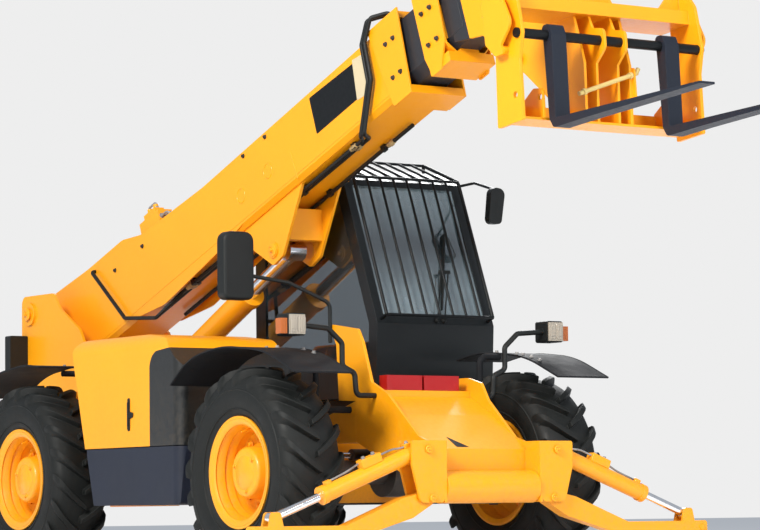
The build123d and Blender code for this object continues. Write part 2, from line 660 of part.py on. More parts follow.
def barrel_between(base, eye, along, radius, rod_radius, length, eye_radius, eye_half):
    """A barrel with a bored front end and an eye across `along` at its base."""
    axis = (eye - base).normalized()
    tip = base + axis * length
    gland = bar(tip - axis * (radius * 0.7), tip, radius * 1.12)
    solid = bar(base + axis * (eye_radius * 0.7), tip, radius) + gland
    solid += bar(base - along * eye_half, base + along * eye_half, eye_radius)
    bore = rod_radius + 0.05
    return solid - bar(base + axis * (eye_radius + barrel_end), tip + axis, bore)


def rod_between(base, eye, along, rod_radius, buried, eye_radius, eye_half):
    """A rod that runs from inside its barrel to an eye across `along`."""
    axis = (eye - base).normalized()
    solid = bar(base + axis * buried, eye - axis * (eye_radius * 0.5), rod_radius)
    return solid + bar(eye - along * eye_half, eye + along * eye_half, eye_radius)


def lift_barrel():
    base, eye = lift_points()
    solid = barrel_between(base, eye, Vector(0, 1, 0), lift_barrel_radius, lift_rod_radius, lift_barrel_length, 75, 90)
    return solid - cross_bar(base.X, base.Z, 100, lift_pin_radius + pin_fit)


def lift_rod():
    base, eye = lift_points()
    buried = 75 + barrel_end + lift_rod_retracts + running_gap
    return rod_between(base, eye, Vector(0, 1, 0), lift_rod_radius, buried, 62, 60)


def leg_ram_points():
    x = (beam_x[0] + beam_x[1]) / 2
    return Vector(x, leg_ram_base_y, leg_ram_base_z), Vector(x, leg_ram_eye_y, leg_ram_eye_z)


def leg_ram_barrel():
    base, eye = leg_ram_points()
    solid = barrel_between(base, eye, Vector(1, 0, 0), 48, 25, leg_barrel_length, 42, 40)
    return solid - bar(base - Vector(60, 0, 0), base + Vector(60, 0, 0), leg_ram_pin_radius + pin_fit)


def leg_ram_rod():
    base, eye = leg_ram_points()
    return rod_between(base, eye, Vector(1, 0, 0), 25, 42 + barrel_end + leg_rod_retracts + running_gap, 36, 22)


def stabiliser_leg():
    """The left leg: a cranked box from its pin to the foot's pin, with two ears for the ram's rod."""
    x_mid = (beam_x[0] + beam_x[1]) / 2
    y, z = leg_pin_y, leg_pin_z
    fy, fz = foot_pin_y, foot_pin_z
    eye_y, eye_z = leg_ram_eye_y, leg_ram_eye_z
    shape = plate_yz(
        (x_mid - 42, x_mid + 42),
        (y - 38, z - 20, 30), (y - 10, z + 45, 20), (y + 180, z + 5), (1007, 308), (1440, 308), (fy + 40, fz + 42, 20),
        (fy + 40, fz - 36, 20), (980, 225), (y + 120, z - 110),
    )
    ears = [
        plate_yz((x_mid + low, x_mid + high), (eye_y - 50, eye_z - 50), (eye_y + 50, eye_z - 50), (eye_y + 30, eye_z + 34, 20), (eye_y - 30, eye_z + 34, 20))
        for low, high in ((-42, -28), (28, 42))
    ]
    shape += ears
    shape -= block((x_mid - 28, x_mid + 28), (eye_y - 130, eye_y + 60), (eye_z - 84, eye_z + 60))
    shape -= block((x_mid - 30, x_mid + 30), (fy - 80, fy + 80), (fz - 70, fz + 20))
    shape -= bar((x_mid - 60, y, z), (x_mid + 60, y, z), leg_pin_radius + pin_fit)
    return shape + bar((x_mid - 48, fy, fz), (x_mid + 48, fy, fz), foot_pin_radius)


def foot():
    """The left foot: a round pad with a lug between the leg's end plates."""
    x_mid = (beam_x[0] + beam_x[1]) / 2
    fy, fz = foot_pin_y, foot_pin_z
    pad = bar((x_mid, fy, 0), (x_mid, fy, 22), 150) + bar((x_mid, fy, 22), (x_mid, fy, 60), 60)
    lug = plate_yz((x_mid - 22, x_mid + 22), (fy - 50, 55), (fy + 50, 55), (fy + 26, fz + 14, 20), (fy - 26, fz + 14, 20))
    return pad + lug - bar((x_mid - 60, fy, fz), (x_mid + 60, fy, fz), foot_pin_radius + pin_fit)


def tilt_points():
    base_x, base_z = on_boom(tilt_base_u, tilt_base_v)
    ear = carriage_place * Pos(ram_ear_c, 0, ram_ear_h)
    return Vector(base_x, 0, base_z), ear.position


def tilt_barrel():
    base, eye = tilt_points()
    solid = barrel_between(base, eye, Vector(0, 1, 0), 52, 30, tilt_barrel_length, 45, 50)
    return solid - cross_bar(base.X, base.Z, 60, tilt_pin_radius + pin_fit)


def tilt_rod():
    base, eye = tilt_points()
    return rod_between(base, eye, Vector(0, 1, 0), 30, 45 + barrel_end + tilt_rod_retracts + running_gap, 42, 45)


# ---------------------------------------------------------------- cab


def strip(foot, head, along, depth):
    """Corners of a strip beside the line from foot to head: a share of its length, and a depth inwards."""
    run = Vector(*head) - Vector(*foot)
    inwards = Vector(-run.Y, run.X).normalized()
    points = [Vector(*foot) + run * share + inwards * d for share, d in (
        (along[0], depth[0]), (along[1], depth[0]), (along[1], depth[1]), (along[0], depth[1]))]
    return [(point.X, point.Y) for point in points]


def cab_side(inset):
    """The cab's side outline, drawn in by a margin."""
    rear, front = cab_x
    low = cab_floor_z + inset
    return [
        (rear + inset, low), (front - 260 - inset * 0.7, low), (front + 10 - inset, 1180 + inset * 0.3),
        (screen_foot[0] - inset, screen_foot[1]), (screen_head[0] - inset, screen_head[1] - inset * 0.6),
        (screen_head[0] - 195, cab_roof_z - inset), (rear + 60 + inset * 0.5, cab_roof_z - inset), (rear + inset, cab_roof_z - 190),
    ]


def door_outline(margin):
    """The door's outline, drawn in by a margin on every side."""
    rear, front = cab_x
    return [
        (rear + cab_rear_post + margin, cab_floor_z + 20 + margin), (front - 275 - margin, cab_floor_z + 20 + margin),
        (front - 30 - margin, 1190 + margin * 0.4), (screen_foot[0] - 45 - margin, screen_foot[1]),
        (screen_head[0] - 45 - margin, screen_head[1] - 60 - margin), (rear + cab_rear_post + margin, screen_head[1] - 60 - margin),
    ]


def right_window(margin):
    rear, front = cab_x
    return [
        (rear + 120 + margin, 1330 + margin), (screen_foot[0] - 105 - margin, 1330 + margin),
        (screen_foot[0] - 95 - margin, screen_foot[1]), (screen_head[0] - 70 - margin, screen_head[1] - 80 - margin),
        (rear + 120 + margin, screen_head[1] - 80 - margin),
    ]


def door_window(margin):
    rear, front = cab_x
    return [
        (rear + cab_rear_post + 85 + margin, 1120 + margin), (front - 150 - margin, 1120 + margin),
        (screen_foot[0] - 120 - margin, screen_foot[1]), (screen_head[0] - 110 - margin, screen_head[1] - 130 - margin),
        (rear + cab_rear_post + 85 + margin, screen_head[1] - 130 - margin),
    ]


def cab_frame():
    """The hollow cab: floor, walls, pillars and roof, with its windows and doorway cut."""
    low, high = cab_y
    rear, front = cab_x
    shell = plate_xz((low, high), *cab_side(0)) - plate_xz((low + cab_wall, high - cab_wall), *cab_side(cab_wall))
    shell -= block((rear - 10, front + 50), (low - 10, plate_outer + 20), (700, cab_shelf_z))
    shell += plate_xz(
        (plate_outer + 20, plate_outer + 50),
        (rear, cab_floor_z), (front - 260, cab_floor_z), (front - 45, cab_shelf_z + 5), (rear, cab_shelf_z + 5),
    )
    shell += block((rear, front - 45), (low, plate_outer + 50), (cab_shelf_z, cab_shelf_z + 25))
    shell -= plate_xz((low + 60, high - 60), *strip(screen_foot, screen_head, (0.06, 0.96), (-60, 60)))
    shell -= plate_xz((high - cab_wall - 5, high + 5), *door_outline(0))
    shell -= plate_xz((low - 5, low + cab_wall + 5), *right_window(0))
    shell -= block((rear - 10, rear + cab_wall + 10), (low + 70, high - 70), (1400, 2360))
    for z in door_hinge_heights:
        shell += block((door_hinge_x - 60, door_hinge_x + 10), (high - 1, door_hinge_y + 8), (z - 22, z - running_gap))
        shell += bar((door_hinge_x, door_hinge_y, z - 10), (door_hinge_x, door_hinge_y, z + 56), 8)
    return shell


def cab_glass():
    """The fixed panes: screen, right side and rear."""
    low, high = cab_y
    rear = cab_x[0]
    g = seat_gap
    screen = plate_xz((low + 60 + g, high - 60 - g), *strip(screen_foot, screen_head, (0.0603, 0.9597), (6, 12)))
    right = plate_xz((low + 10, low + 16), *right_window(g))
    back = block((rear + 10, rear + 16), (low + 70 + g, high - 70 - g), (1400 + g, 2360 - g))
    return screen + right + back


def cab_door():
    """The door's frame, with its window cut and a grab handle."""
    high = cab_y[1]
    leaf = plate_xz((high - cab_wall, high), *door_outline(running_gap))
    leaf -= plate_xz((high - cab_wall - 5, high + 5), *door_window(0))
    rear = cab_x[0] + cab_rear_post
    for z in door_hinge_heights:
        ring = bar((door_hinge_x, door_hinge_y, z), (door_hinge_x, door_hinge_y, z + 50), 15, 8 + pin_fit)
        leaf += ring + block((door_hinge_x + 13, door_hinge_x + 90), (high, high + 10), (z, z + 50))
    handle = bent_tube(
        [(rear + 600, high - 1, 1040), (rear + 600, high + 35, 1040), (rear + 740, high + 35, 1040), (rear + 740, high - 1, 1040)], 9, 20
    )
    return leaf + handle


def door_glass():
    high = cab_y[1]
    return plate_xz((high - 18, high - 12), *door_window(seat_gap))


def cab_seat():
    """The driver's seat on its box."""
    x = cab_x[0] + 480
    y = (cab_y[0] + cab_y[1]) / 2 + 40
    base = block((x - 180, x + 200), (y - 190, y + 190), (cab_floor_z + cab_wall, 1120))
    cushion = block((x - 200, x + 270), (y - 240, y + 240), (1120, 1230))
    back = plate_xz((y - 230, y + 230), (x - 200, 1230), (x - 60, 1230), (x - 170, 1850), (x - 290, 1850))
    return base + fillet(cushion.edges(), 30) + back


def cab_console():
    """The dash, the steering column and its wheel."""
    front = cab_x[1]
    y = (cab_y[0] + cab_y[1]) / 2 + 40
    dash = plate_xz(
        (cab_y[0] + cab_wall + seat_gap, cab_y[1] - cab_wall - running_gap),
        (front - 45, cab_shelf_z + 60), (front - 25, 1200), (front - 12, 1540), (front - 190, 1500), (front - 230, 1420), (front - 150, cab_shelf_z + 60),
    )
    column = bar((front - 170, y, 1300), (front - 335, y, 1594), 30)
    tilt = Plane((front - 335, y, 1594), z_dir=(-160, 0, 285))
    wheel = tilt * Torus(180, 14) + tilt * Cylinder(45, 20) + [tilt * Rot(0, 0, turn) * Pos(90, 0, 0) * Box(170, 24, 10) for turn in (30, 150, 270)]
    return dash + column + wheel


def screen_guard():
    """The bar guard over the screen and the front of the roof."""
    low, high = cab_y
    lift = -62.0
    bars = 9
    face = [strip(screen_foot, screen_head, (share, share), (lift, lift))[0] for share in (0.03, 0.99)]
    roof = (screen_head[0] - 330, cab_roof_z + 70)
    solid = None
    for index in range(bars):
        y = low + 40 + (high - low - 80) * index / (bars - 1)
        radius = 11 if index in (0, bars - 1) else 8
        points = [(face[0][0], y, face[0][1]), (face[1][0], y, face[1][1]), (roof[0], y, roof[1])]
        rail = bent_tube(points, radius, 70)
        solid = rail if solid is None else solid + rail
    for x, z in (face[0], face[1], roof):
        solid += bar((x, low + 40, z), (x, high - 40, z), 9.5)
    foot = [strip(screen_foot, screen_head, (0.03, 0.03), (depth, depth))[0] for depth in (lift, -seat_gap)]
    for y in (low + 40, high - 40):
        solid += bar((foot[0][0], y, foot[0][1]), (foot[1][0], y, foot[1][1]), 11)
        solid += bar((roof[0], y, roof[1]), (roof[0], y, cab_roof_z + seat_gap), 11)
    return solid


# ---------------------------------------------------------------- outfit
def mudguards():
    """The four guards, each a bent sheet on a tube from the chassis."""
    guards = None
    rows = (
        # axle, +1 forward or -1 backward, side, points ahead of the axle and above its centre
        (front_axle_x, 1, -1, ((655, 565), (325, 705, 1000), (-170, 750, 1300), (-530, 690, 600), (-735, 545))),
        (front_axle_x, 1, 1, ((655, 565), (325, 705, 1000), (-120, 750, 1200), (-380, 710))),
        (rear_axle_x, -1, -1, ((600, 565), (325, 705, 900), (-120, 750, 1000), (-330, 730))),
        (rear_axle_x, -1, 1, ((600, 565), (325, 705, 900), (-120, 750, 1000), (-330, 730))),
    )
    for axle_x, ahead, side, points in rows:
        over = [(axle_x + ahead * a, tyre_radius + b, *turn) for a, b, *turn in points]
        under = [(a, b - 8, *turn) for a, b, *turn in reversed(over)]
        guard = plate_xz(sorted((side * 740, side * 1135)), *(over + under))
        x = axle_x + ahead * 60
        foot_z = 990 if axle_x == front_axle_x else 870
        guard += bent_tube([(x, side * (plate_outer + seat_gap), foot_z), (x, side * 600, foot_z), (x, side * 600, 1325), (x, side * 750, 1325)], 20, 50)
        guards = guard if guards is None else guards + guard
    return guards


def head_lamps():
    """The two lamp housings on their bent arms."""
    x = front_axle_x + 330
    arm = bent_tube(
        [(x, plate_outer + seat_gap, 1065), (x, 495, 1065), (x, 505, 1195), (x, 592, 1235), (x, 592, 1370), (x, 690, 1455), (x, 885, 1470)], 16, 35
    )
    housing = block((x - 70, x + 50), (880, 1000), (1405, 1535))
    return both_sides(arm + fillet(housing.edges().filter_by(Axis.X), 15))


def lamp_lenses():
    x = front_axle_x + 330 + 50 + seat_gap
    lens = block((x, x + 14), (888, 992), (1413, 1527))
    amber = block((x - 60, x - 4), (1000 + seat_gap, 1045), (1415, 1505))
    return both_sides(lens), both_sides(amber)


def mirrors():
    """The right mirror on a tube from the front wing and the left one on the cab's post."""
    x = front_axle_x
    right_arm = bent_tube([(x - 130, -plate_outer - 12 - seat_gap, 1400), (x - 130, -plate_outer - 12 - seat_gap, 1640), (x - 200, -620, 1760), (x - 285, -835, 1800)], 12, 60)
    right = plate_yz((x - 330, x - 250), (-1042, 1652, 45), (-828, 1652, 45), (-828, 2062, 60), (-1042, 2062, 60))
    left_arm = bent_tube([(x - 1060, cab_y[1] + 9 + seat_gap, 2490), (x - 800, cab_y[1] + 60, 2510), (x - 520, cab_y[1] + 10, 2440)], 9, 60)
    left = plate_yz((x - 540, x - 490), (cab_y[1] - 55, 2215, 35), (cab_y[1] + 45, 2215, 30), (cab_y[1] + 80, 2440, 45), (cab_y[1] - 30, 2455, 45))
    return right_arm + fillet(right.edges().group_by(Axis.X)[-1], 18) + left_arm + left


def fuel_tank():
    """The tank and step under the cab."""
    rear, front = cab_x
    tank = block((rear + 30, front - 330), (plate_outer + seat_gap, 1000), (430, cab_floor_z - 68))
    step = block((rear + 250, front - 400), (1000, 1120), (430, 455)) + block((rear + 250, front - 400), (1000, 1080), (600, 620))
    step += [block((x, x + 12), (1000, 1110), (430, 620)) for x in (rear + 250, front - 412)]
    return tank + step


def transmission():
    """The gearbox between the chassis plates and its two shafts to the axles."""
    x = front_axle_x - 1230
    z = tyre_radius
    solid = block((x - 180, x + 180), (-150, 150), (z - 150, z + 110))
    solid += bar((x + 180, 0, z), (front_axle_x - 235 - seat_gap, 0, z), 40)
    solid += bar((x - 180, 0, z), (rear_axle_x + 235 + seat_gap, 0, z), 40)
    return solid + cross_bar(x, z - 60, plate_inner - seat_gap, 35)


def rear_lamps():
    """The black lamp guards at the back of the chassis."""
    x = boom_pivot_x - 120
    shelf = block((x, x + 80), (plate_outer + seat_gap, plate_outer + 140), (1390, 1650))
    return both_sides(fillet(shelf.edges().filter_by(Axis.X), 12))


def red_blocks():
    """The two red rest blocks for the lowered boom, across the trough."""
    x = front_axle_x + 270
    return both_sides(block((x - 40, x + 40), (8, 262), (rest_z + seat_gap, rest_z + 90)))


def build():
    """Every piece by its name."""
    pieces = {
        "chassis": chassis(),
        "boom_tower": boom_tower(),
        "front_frame": front_frame(),
        "engine_block": engine_block(),
        "engine_pod": engine_pod(),
        "engine_cover": engine_cover(),
        "counterweight": counterweight(),
        "front_axle": axle(front_axle_x, -1),
        "rear_axle": axle(rear_axle_x, 1),
        "boom_outer": boom_outer(),
        "boom_pipes": boom_pipes(),
        "valve_block": valve_block(),
        "boom_middle": boom_middle(),
        "boom_inner": boom_inner(),
        "carriage": carriage(),
        "fork_shaft": fork_shaft(),
        "fork_left": fork(1),
        "fork_right": fork(-1),
        "lift_barrel": lift_barrel(),
        "lift_rod": lift_rod(),
        "tilt_barrel": tilt_barrel(),
        "tilt_rod": tilt_rod(),
        "cab_frame": cab_frame(),
        "cab_glass": cab_glass(),
        "cab_door": cab_door(),
        "door_glass": door_glass(),
        "cab_interior": cab_seat() + cab_console(),
        "screen_guard": screen_guard(),
        "mudguards": mudguards(),
        "lamp_housings": head_lamps() + rear_lamps(),
        "lamp_lenses": lamp_lenses()[0],
        "amber_lenses": lamp_lenses()[1],
        "mirrors": mirrors(),
        "fuel_tank": fuel_tank(),
        "transmission": transmission(),
        "red_blocks": red_blocks(),
    }
    for side, sign, turn in (("left", 1, lambda solid: solid), ("right", -1, flipped)):
        for end, axle_x, arm in (("front", front_axle_x, -1), ("rear", rear_axle_x, 1)):
            pieces[f"tie_rod_{end}"] = tie_rod(axle_x, arm)
            pieces[f"knuckle_{end}_{side}"] = turn(knuckle(axle_x, arm))
            place = Pos(axle_x, sign * track / 2, tyre_radius) * Rot(0, 0, 0 if sign > 0 else 180)
            pieces[f"tyre_{end}_{side}"] = place * tyre(sign * lug_slant)
            pieces[f"rim_{end}_{side}"] = place * rim()
        pieces[f"leg_{side}"] = turn(stabiliser_leg())
        pieces[f"leg_barrel_{side}"] = turn(leg_ram_barrel())
        pieces[f"leg_rod_{side}"] = turn(leg_ram_rod())
        pieces[f"foot_{side}"] = turn(foot())
    return pieces


os.makedirs("parts", exist_ok=True)
for name, solid in build().items():
    export_step(solid, f"parts/{name}.step")
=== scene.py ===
# %% [markdown]
# # A telescopic handler
# The machine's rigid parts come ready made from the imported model, in metres, with the ground at
# z = 0, forward along +X and left along +Y. This script gives them their finishes and adds the
# small things that a fitter would bolt on last: bolts, pin ends, pipe unions, lamp glass, a wiper,
# the seat's cover and the driver's levers.

# %% Load the frame
import json
import math

import bmesh
import bpy
from mathutils import Matrix, Vector


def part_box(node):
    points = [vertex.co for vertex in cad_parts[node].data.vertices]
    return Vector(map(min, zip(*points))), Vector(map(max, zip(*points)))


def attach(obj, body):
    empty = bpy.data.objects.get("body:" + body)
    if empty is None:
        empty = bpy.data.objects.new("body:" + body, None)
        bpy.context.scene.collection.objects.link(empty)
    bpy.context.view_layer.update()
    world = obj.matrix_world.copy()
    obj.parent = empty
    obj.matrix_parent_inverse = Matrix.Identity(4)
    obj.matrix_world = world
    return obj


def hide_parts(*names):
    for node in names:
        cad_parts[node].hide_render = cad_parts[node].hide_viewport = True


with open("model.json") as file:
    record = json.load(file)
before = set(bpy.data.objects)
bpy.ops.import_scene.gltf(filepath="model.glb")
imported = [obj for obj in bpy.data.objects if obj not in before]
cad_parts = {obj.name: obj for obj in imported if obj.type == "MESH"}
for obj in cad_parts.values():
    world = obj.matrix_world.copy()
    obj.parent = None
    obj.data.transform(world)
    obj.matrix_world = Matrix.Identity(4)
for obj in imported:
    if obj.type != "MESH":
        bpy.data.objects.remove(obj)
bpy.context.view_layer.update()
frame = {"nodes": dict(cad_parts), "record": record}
nodes = frame["nodes"]

# %% [markdown]
# ## Camera
# A long lens from low down at the front right, the way sales pictures of such machines are
# taken. The angles are a yaw from the machine's own axis, a small pitch up and a hint of roll.
# A matrix built from three unit vectors is the plainest way to say all three at once.

# %% Camera
CAMERA_PLACE = Vector((15.860, -10.575, 0.379))
CAMERA_YAW, CAMERA_PITCH, CAMERA_ROLL = (math.radians(a) for a in (34.26, 4.58, -0.653))
FOCAL_LENGTH = 146.25


def make_camera():
    ahead = Vector((
        -math.cos(CAMERA_YAW) * math.cos(CAMERA_PITCH),
        math.sin(CAMERA_YAW) * math.cos(CAMERA_PITCH),
        math.sin(CAMERA_PITCH),
    ))
    level_right = ahead.cross(Vector((0, 0, 1))).normalized()
    level_up = level_right.cross(ahead)
    right = math.cos(CAMERA_ROLL) * level_right + math.sin(CAMERA_ROLL) * level_up
    up = -math.sin(CAMERA_ROLL) * level_right + math.cos(CAMERA_ROLL) * level_up
    data = bpy.data.cameras.new("camera")
    data.lens, data.sensor_width = FOCAL_LENGTH, 36.0
    data.clip_start, data.clip_end = 0.5, 200.0
    camera = bpy.data.objects.new("camera", data)
    camera.matrix_world = Matrix.Translation(CAMERA_PLACE) @ Matrix((right, up, -ahead)).transposed().to_4x4()
    bpy.context.scene.collection.objects.link(camera)
    bpy.context.scene.camera = camera
    return camera


print("camera looks from", make_camera().location[:])

# %% [markdown]
# ## Making materials
# A material is a small tree of nodes. The helper below adds one node and joins its inputs in one
# line: a plain value is set on the socket, and another node's output is linked to it.


# %% Node helpers
def new_material(name):
    material = bpy.data.materials.new(name)
    material.use_nodes = True
    tree = material.node_tree
    tree.nodes.clear()
    return material, tree


def add_node(tree, kind, settings=None, **inputs):
    node = tree.nodes.new("ShaderNode" + kind)
    for name, value in (settings or {}).items():
        setattr(node, name, value)
    for name, value in inputs.items():
        socket = node.inputs[int(name[1:]) if name[1:].isdigit() else name.replace("_", " ")]
        if isinstance(value, bpy.types.NodeSocket):
            tree.links.new(value, socket)
        else:
            socket.default_value = value
    return node


def colour(red, green, blue):
    return (red, green, blue, 1.0)


def place_of(tree):
    return add_node(tree, "TexCoord").outputs["Object"]


def speckle(tree, scale, detail=3.0, roughness=0.55):
    noise = add_node(tree, "TexNoise", Vector=place_of(tree), Scale=scale, Detail=detail, Roughness=roughness)
    return noise.outputs["Fac"]


def between(tree, value, low, high, to_low=0.0, to_high=1.0):
    ramp = add_node(tree, "MapRange", Value=value, From_Min=low, From_Max=high, To_Min=to_low, To_Max=to_high)
    return ramp.outputs["Result"]


def blend_colours(tree, amount, first, second):
    mix = add_node(tree, "Mix", {"data_type": "RGBA"}, i0=amount, i6=first, i7=second)
    return mix.outputs[2]


def calculate(tree, operation, first, second=0.0):
    return add_node(tree, "Math", {"operation": operation}, i0=first, i1=second).outputs[0]


def plus(tree, first, second):
    return calculate(tree, "ADD", first, second)


def minus(tree, first, second):
    return calculate(tree, "SUBTRACT", first, second)


def times(tree, first, second):
    return calculate(tree, "MULTIPLY", first, second)


def bumps(tree, height, distance, strength=1.0, under=None):
    bump = add_node(tree, "Bump", Height=height, Distance=distance, Strength=strength)
    if under is not None:
        tree.links.new(under, bump.inputs["Normal"])
    return bump.outputs["Normal"]


def rounded_edges(tree, radius):
    return add_node(tree, "Bevel", {"samples": 4}, Radius=radius).outputs[0]


def parts_of(tree, vector):
    """The X, Y and Z of a vector, as a node's outputs."""
    return add_node(tree, "SeparateXYZ", Vector=vector).outputs


def place_parts(tree):
    return parts_of(tree, place_of(tree))


def surface(tree, base, roughness, normal, **more):
    shader = add_node(tree, "BsdfPrincipled", Base_Color=base, Roughness=roughness, Normal=normal, **more)
    add_node(tree, "OutputMaterial", Surface=shader.outputs[0])


# %% [markdown]
# ## Paint
# The yellow coat is sprayed thick over welded plate. Up close it has an orange-peel skin, its
# edges are softly rounded by the primer, and road dust gathers on its lower parts. A bevel in
# the shader rounds the edges without adding a single face, noise does the rest.

# %% Paint
YELLOW = colour(0.90, 0.350, 0.003)
DUST = colour(0.30, 0.22, 0.13)
PAINT_EDGE = 0.004


def paint(name, base, roughness=0.38, dust=0.22, coat=0.18, second=None, mask=None, shine=0.4):
    material, tree = new_material(name)
    patchy, fine = speckle(tree, 1.7, 4.0), speckle(tree, 38.0, 5.0)
    darker = colour(*(c * 0.72 for c in base[:3]))
    tone = blend_colours(tree, between(tree, patchy, 0.35, 0.7, 0.0, 0.16), base, darker)
    if mask is not None:
        tone = blend_colours(tree, mask(tree), tone, second)
    low = between(tree, place_parts(tree)["Z"], 1.3, 0.1)
    dirt = times(tree, times(tree, low, between(tree, fine, 0.4, 0.75)), dust)
    tone = blend_colours(tree, dirt, tone, DUST)
    spread = between(tree, fine, 0.3, 0.8, roughness - 0.05, roughness + 0.1)
    rough = plus(tree, spread, times(tree, dirt, 0.9))
    skin = bumps(tree, speckle(tree, 420.0, 2.0), 0.0004, 0.25, rounded_edges(tree, PAINT_EDGE))
    surface(tree, tone, rough, skin, Coat_Weight=coat, Coat_Roughness=0.12, Specular_IOR_Level=shine)
    return material


BOOM_PIVOT, BOOM_ANGLE = Vector((-3.531, 0.0, 1.800)), math.radians(20.0)
MIDDLE_COLLAR_U, INNER_NOSE_U = 4.75, 5.16
HOOD_SPLIT_X, HOOD_SPLIT_Z, HOOD_SPLIT_RADIUS, HOOD_SPLIT_RISE = -0.645, 1.375, 0.10, 0.09


def hood_front(tree):
    """One inside the dark front panel of the engine cover, with its rounded upper corner."""
    place = place_parts(tree)
    back = minus(tree, HOOD_SPLIT_X + HOOD_SPLIT_RADIUS, place["X"])
    rise = times(tree, minus(tree, place["X"], HOOD_SPLIT_X), HOOD_SPLIT_RISE)
    above = minus(tree, minus(tree, place["Z"], HOOD_SPLIT_Z - HOOD_SPLIT_RADIUS), rise)
    squares = [calculate(tree, "POWER", calculate(tree, "MAXIMUM", value, 0.0), 2.0) for value in (back, above)]
    inside = calculate(tree, "MINIMUM", calculate(tree, "MAXIMUM", back, above), 0.0)
    edge = plus(tree, calculate(tree, "SQRT", plus(tree, *squares)), inside)
    return calculate(tree, "LESS_THAN", edge, HOOD_SPLIT_RADIUS)


def beyond(first_u):
    """A mask that is one beyond a place along the boom, for stages whose front collar is yellow."""
    def mask(tree):
        place = place_parts(tree)
        along_x = times(tree, minus(tree, place["X"], BOOM_PIVOT.x), math.cos(BOOM_ANGLE))
        along_z = times(tree, minus(tree, place["Z"], BOOM_PIVOT.z), math.sin(BOOM_ANGLE))
        return calculate(tree, "GREATER_THAN", plus(tree, along_x, along_z), first_u)

    return mask


DARK_PANEL = colour(0.012, 0.013, 0.013)
STAGE_GREY = colour(0.020, 0.022, 0.027)
yellow_paint = paint("yellow_paint", YELLOW)
hood_paint = paint("hood_paint", YELLOW, second=DARK_PANEL, mask=hood_front)
middle_paint = paint("middle_stage_paint", STAGE_GREY, 0.42, 0.1, 0.1, YELLOW, beyond(MIDDLE_COLLAR_U))
inner_paint = paint("inner_stage_paint", STAGE_GREY, 0.42, 0.1, 0.1, YELLOW, beyond(INNER_NOSE_U))
cab_paint = paint("cab_paint", colour(0.008, 0.010, 0.011), 0.38, 0.12, 0.15, shine=0.25)
black_paint = paint("black_paint", colour(0.004, 0.005, 0.006), 0.45, 0.1, 0.05, shine=0.2)
fork_paint = paint("fork_paint", colour(0.013, 0.017, 0.027), 0.5, 0.1, 0.05, shine=0.2)

# %% [markdown]
# ## Rubber, plastic, cast iron and chrome
# Tyre rubber is nearly black and dull, greyed where it has run over dry ground. Moulded plastic
# has a fine leathery grain. The axles are cast, so their skin is lumpy, and the ram rods are
# ground and chromed, so theirs is almost a mirror with hair-fine marks round it.


# %% Rubber, plastic, cast iron and chrome
def rubber():
    material, tree = new_material("tyre_rubber")
    worn, grain = speckle(tree, 9.0, 6.0, 0.65), speckle(tree, 260.0, 3.0)
    fresh, grey = colour(0.0035, 0.0048, 0.0044), colour(0.012, 0.013, 0.012)
    base = blend_colours(tree, between(tree, worn, 0.42, 0.72, 0.0, 0.55), fresh, grey)
    normal = bumps(tree, grain, 0.0006, 0.5, rounded_edges(tree, 0.006))
    surface(tree, base, between(tree, worn, 0.3, 0.8, 0.52, 0.82), normal, Specular_IOR_Level=0.34)
    return material


def moulded(name, base, roughness=0.5, grain_size=0.0006, shine=0.3):
    material, tree = new_material(name)
    cells = add_node(tree, "TexVoronoi", Vector=place_of(tree), Scale=380.0).outputs["Distance"]
    patchy = speckle(tree, 6.0, 4.0)
    chalky = colour(*(c * 1.6 + 0.004 for c in base[:3]))
    tone = blend_colours(tree, between(tree, patchy, 0.4, 0.75, 0.0, 0.35), base, chalky)
    normal = bumps(tree, cells, grain_size, 0.3, rounded_edges(tree, 0.005))
    rough = between(tree, patchy, 0.3, 0.8, roughness - 0.08, roughness + 0.12)
    surface(tree, tone, rough, normal, Specular_IOR_Level=shine)
    return material


def cast(name, base):
    material, tree = new_material(name)
    lumps, oily = speckle(tree, 75.0, 6.0, 0.7), speckle(tree, 5.0, 4.0)
    oiled = colour(*(c * 0.35 for c in base[:3]))
    tone = blend_colours(tree, between(tree, oily, 0.45, 0.65, 0.0, 0.8), base, oiled)
    normal = bumps(tree, lumps, 0.0022, 0.5, rounded_edges(tree, 0.008))
    surface(tree, tone, between(tree, oily, 0.4, 0.7, 0.62, 0.36), normal, Metallic=0.35)
    return material


def chrome():
    material, tree = new_material("chrome")
    marks, smear = speckle(tree, 600.0, 2.0), speckle(tree, 14.0, 4.0)
    clean, smeared = colour(0.86, 0.86, 0.88), colour(0.60, 0.57, 0.52)
    tone = blend_colours(tree, between(tree, smear, 0.45, 0.7, 0.0, 0.4), clean, smeared)
    rough = between(tree, smear, 0.3, 0.8, 0.10, 0.30)
    surface(tree, tone, rough, bumps(tree, marks, 0.0002, 0.15), Metallic=1.0)
    return material


tyre_rubber = rubber()
black_plastic = moulded("black_plastic", colour(0.006, 0.0075, 0.0075))
guard_plastic = moulded("guard_plastic", colour(0.010, 0.011, 0.013), 0.72, 0.0008, 0.18)
pod_plastic = moulded("pod_plastic", colour(0.013, 0.017, 0.030))
seat_vinyl = moulded("seat_vinyl", colour(0.030, 0.031, 0.034), 0.55, 0.0012)
axle_iron = cast("axle_iron", colour(0.075, 0.070, 0.065))
bare_steel = cast("bare_steel", colour(0.32, 0.31, 0.30))
dark_steel = cast("dark_steel", colour(0.040, 0.038, 0.036))
brass = cast("brass_unions", colour(0.50, 0.36, 0.16))
rod_chrome = chrome()
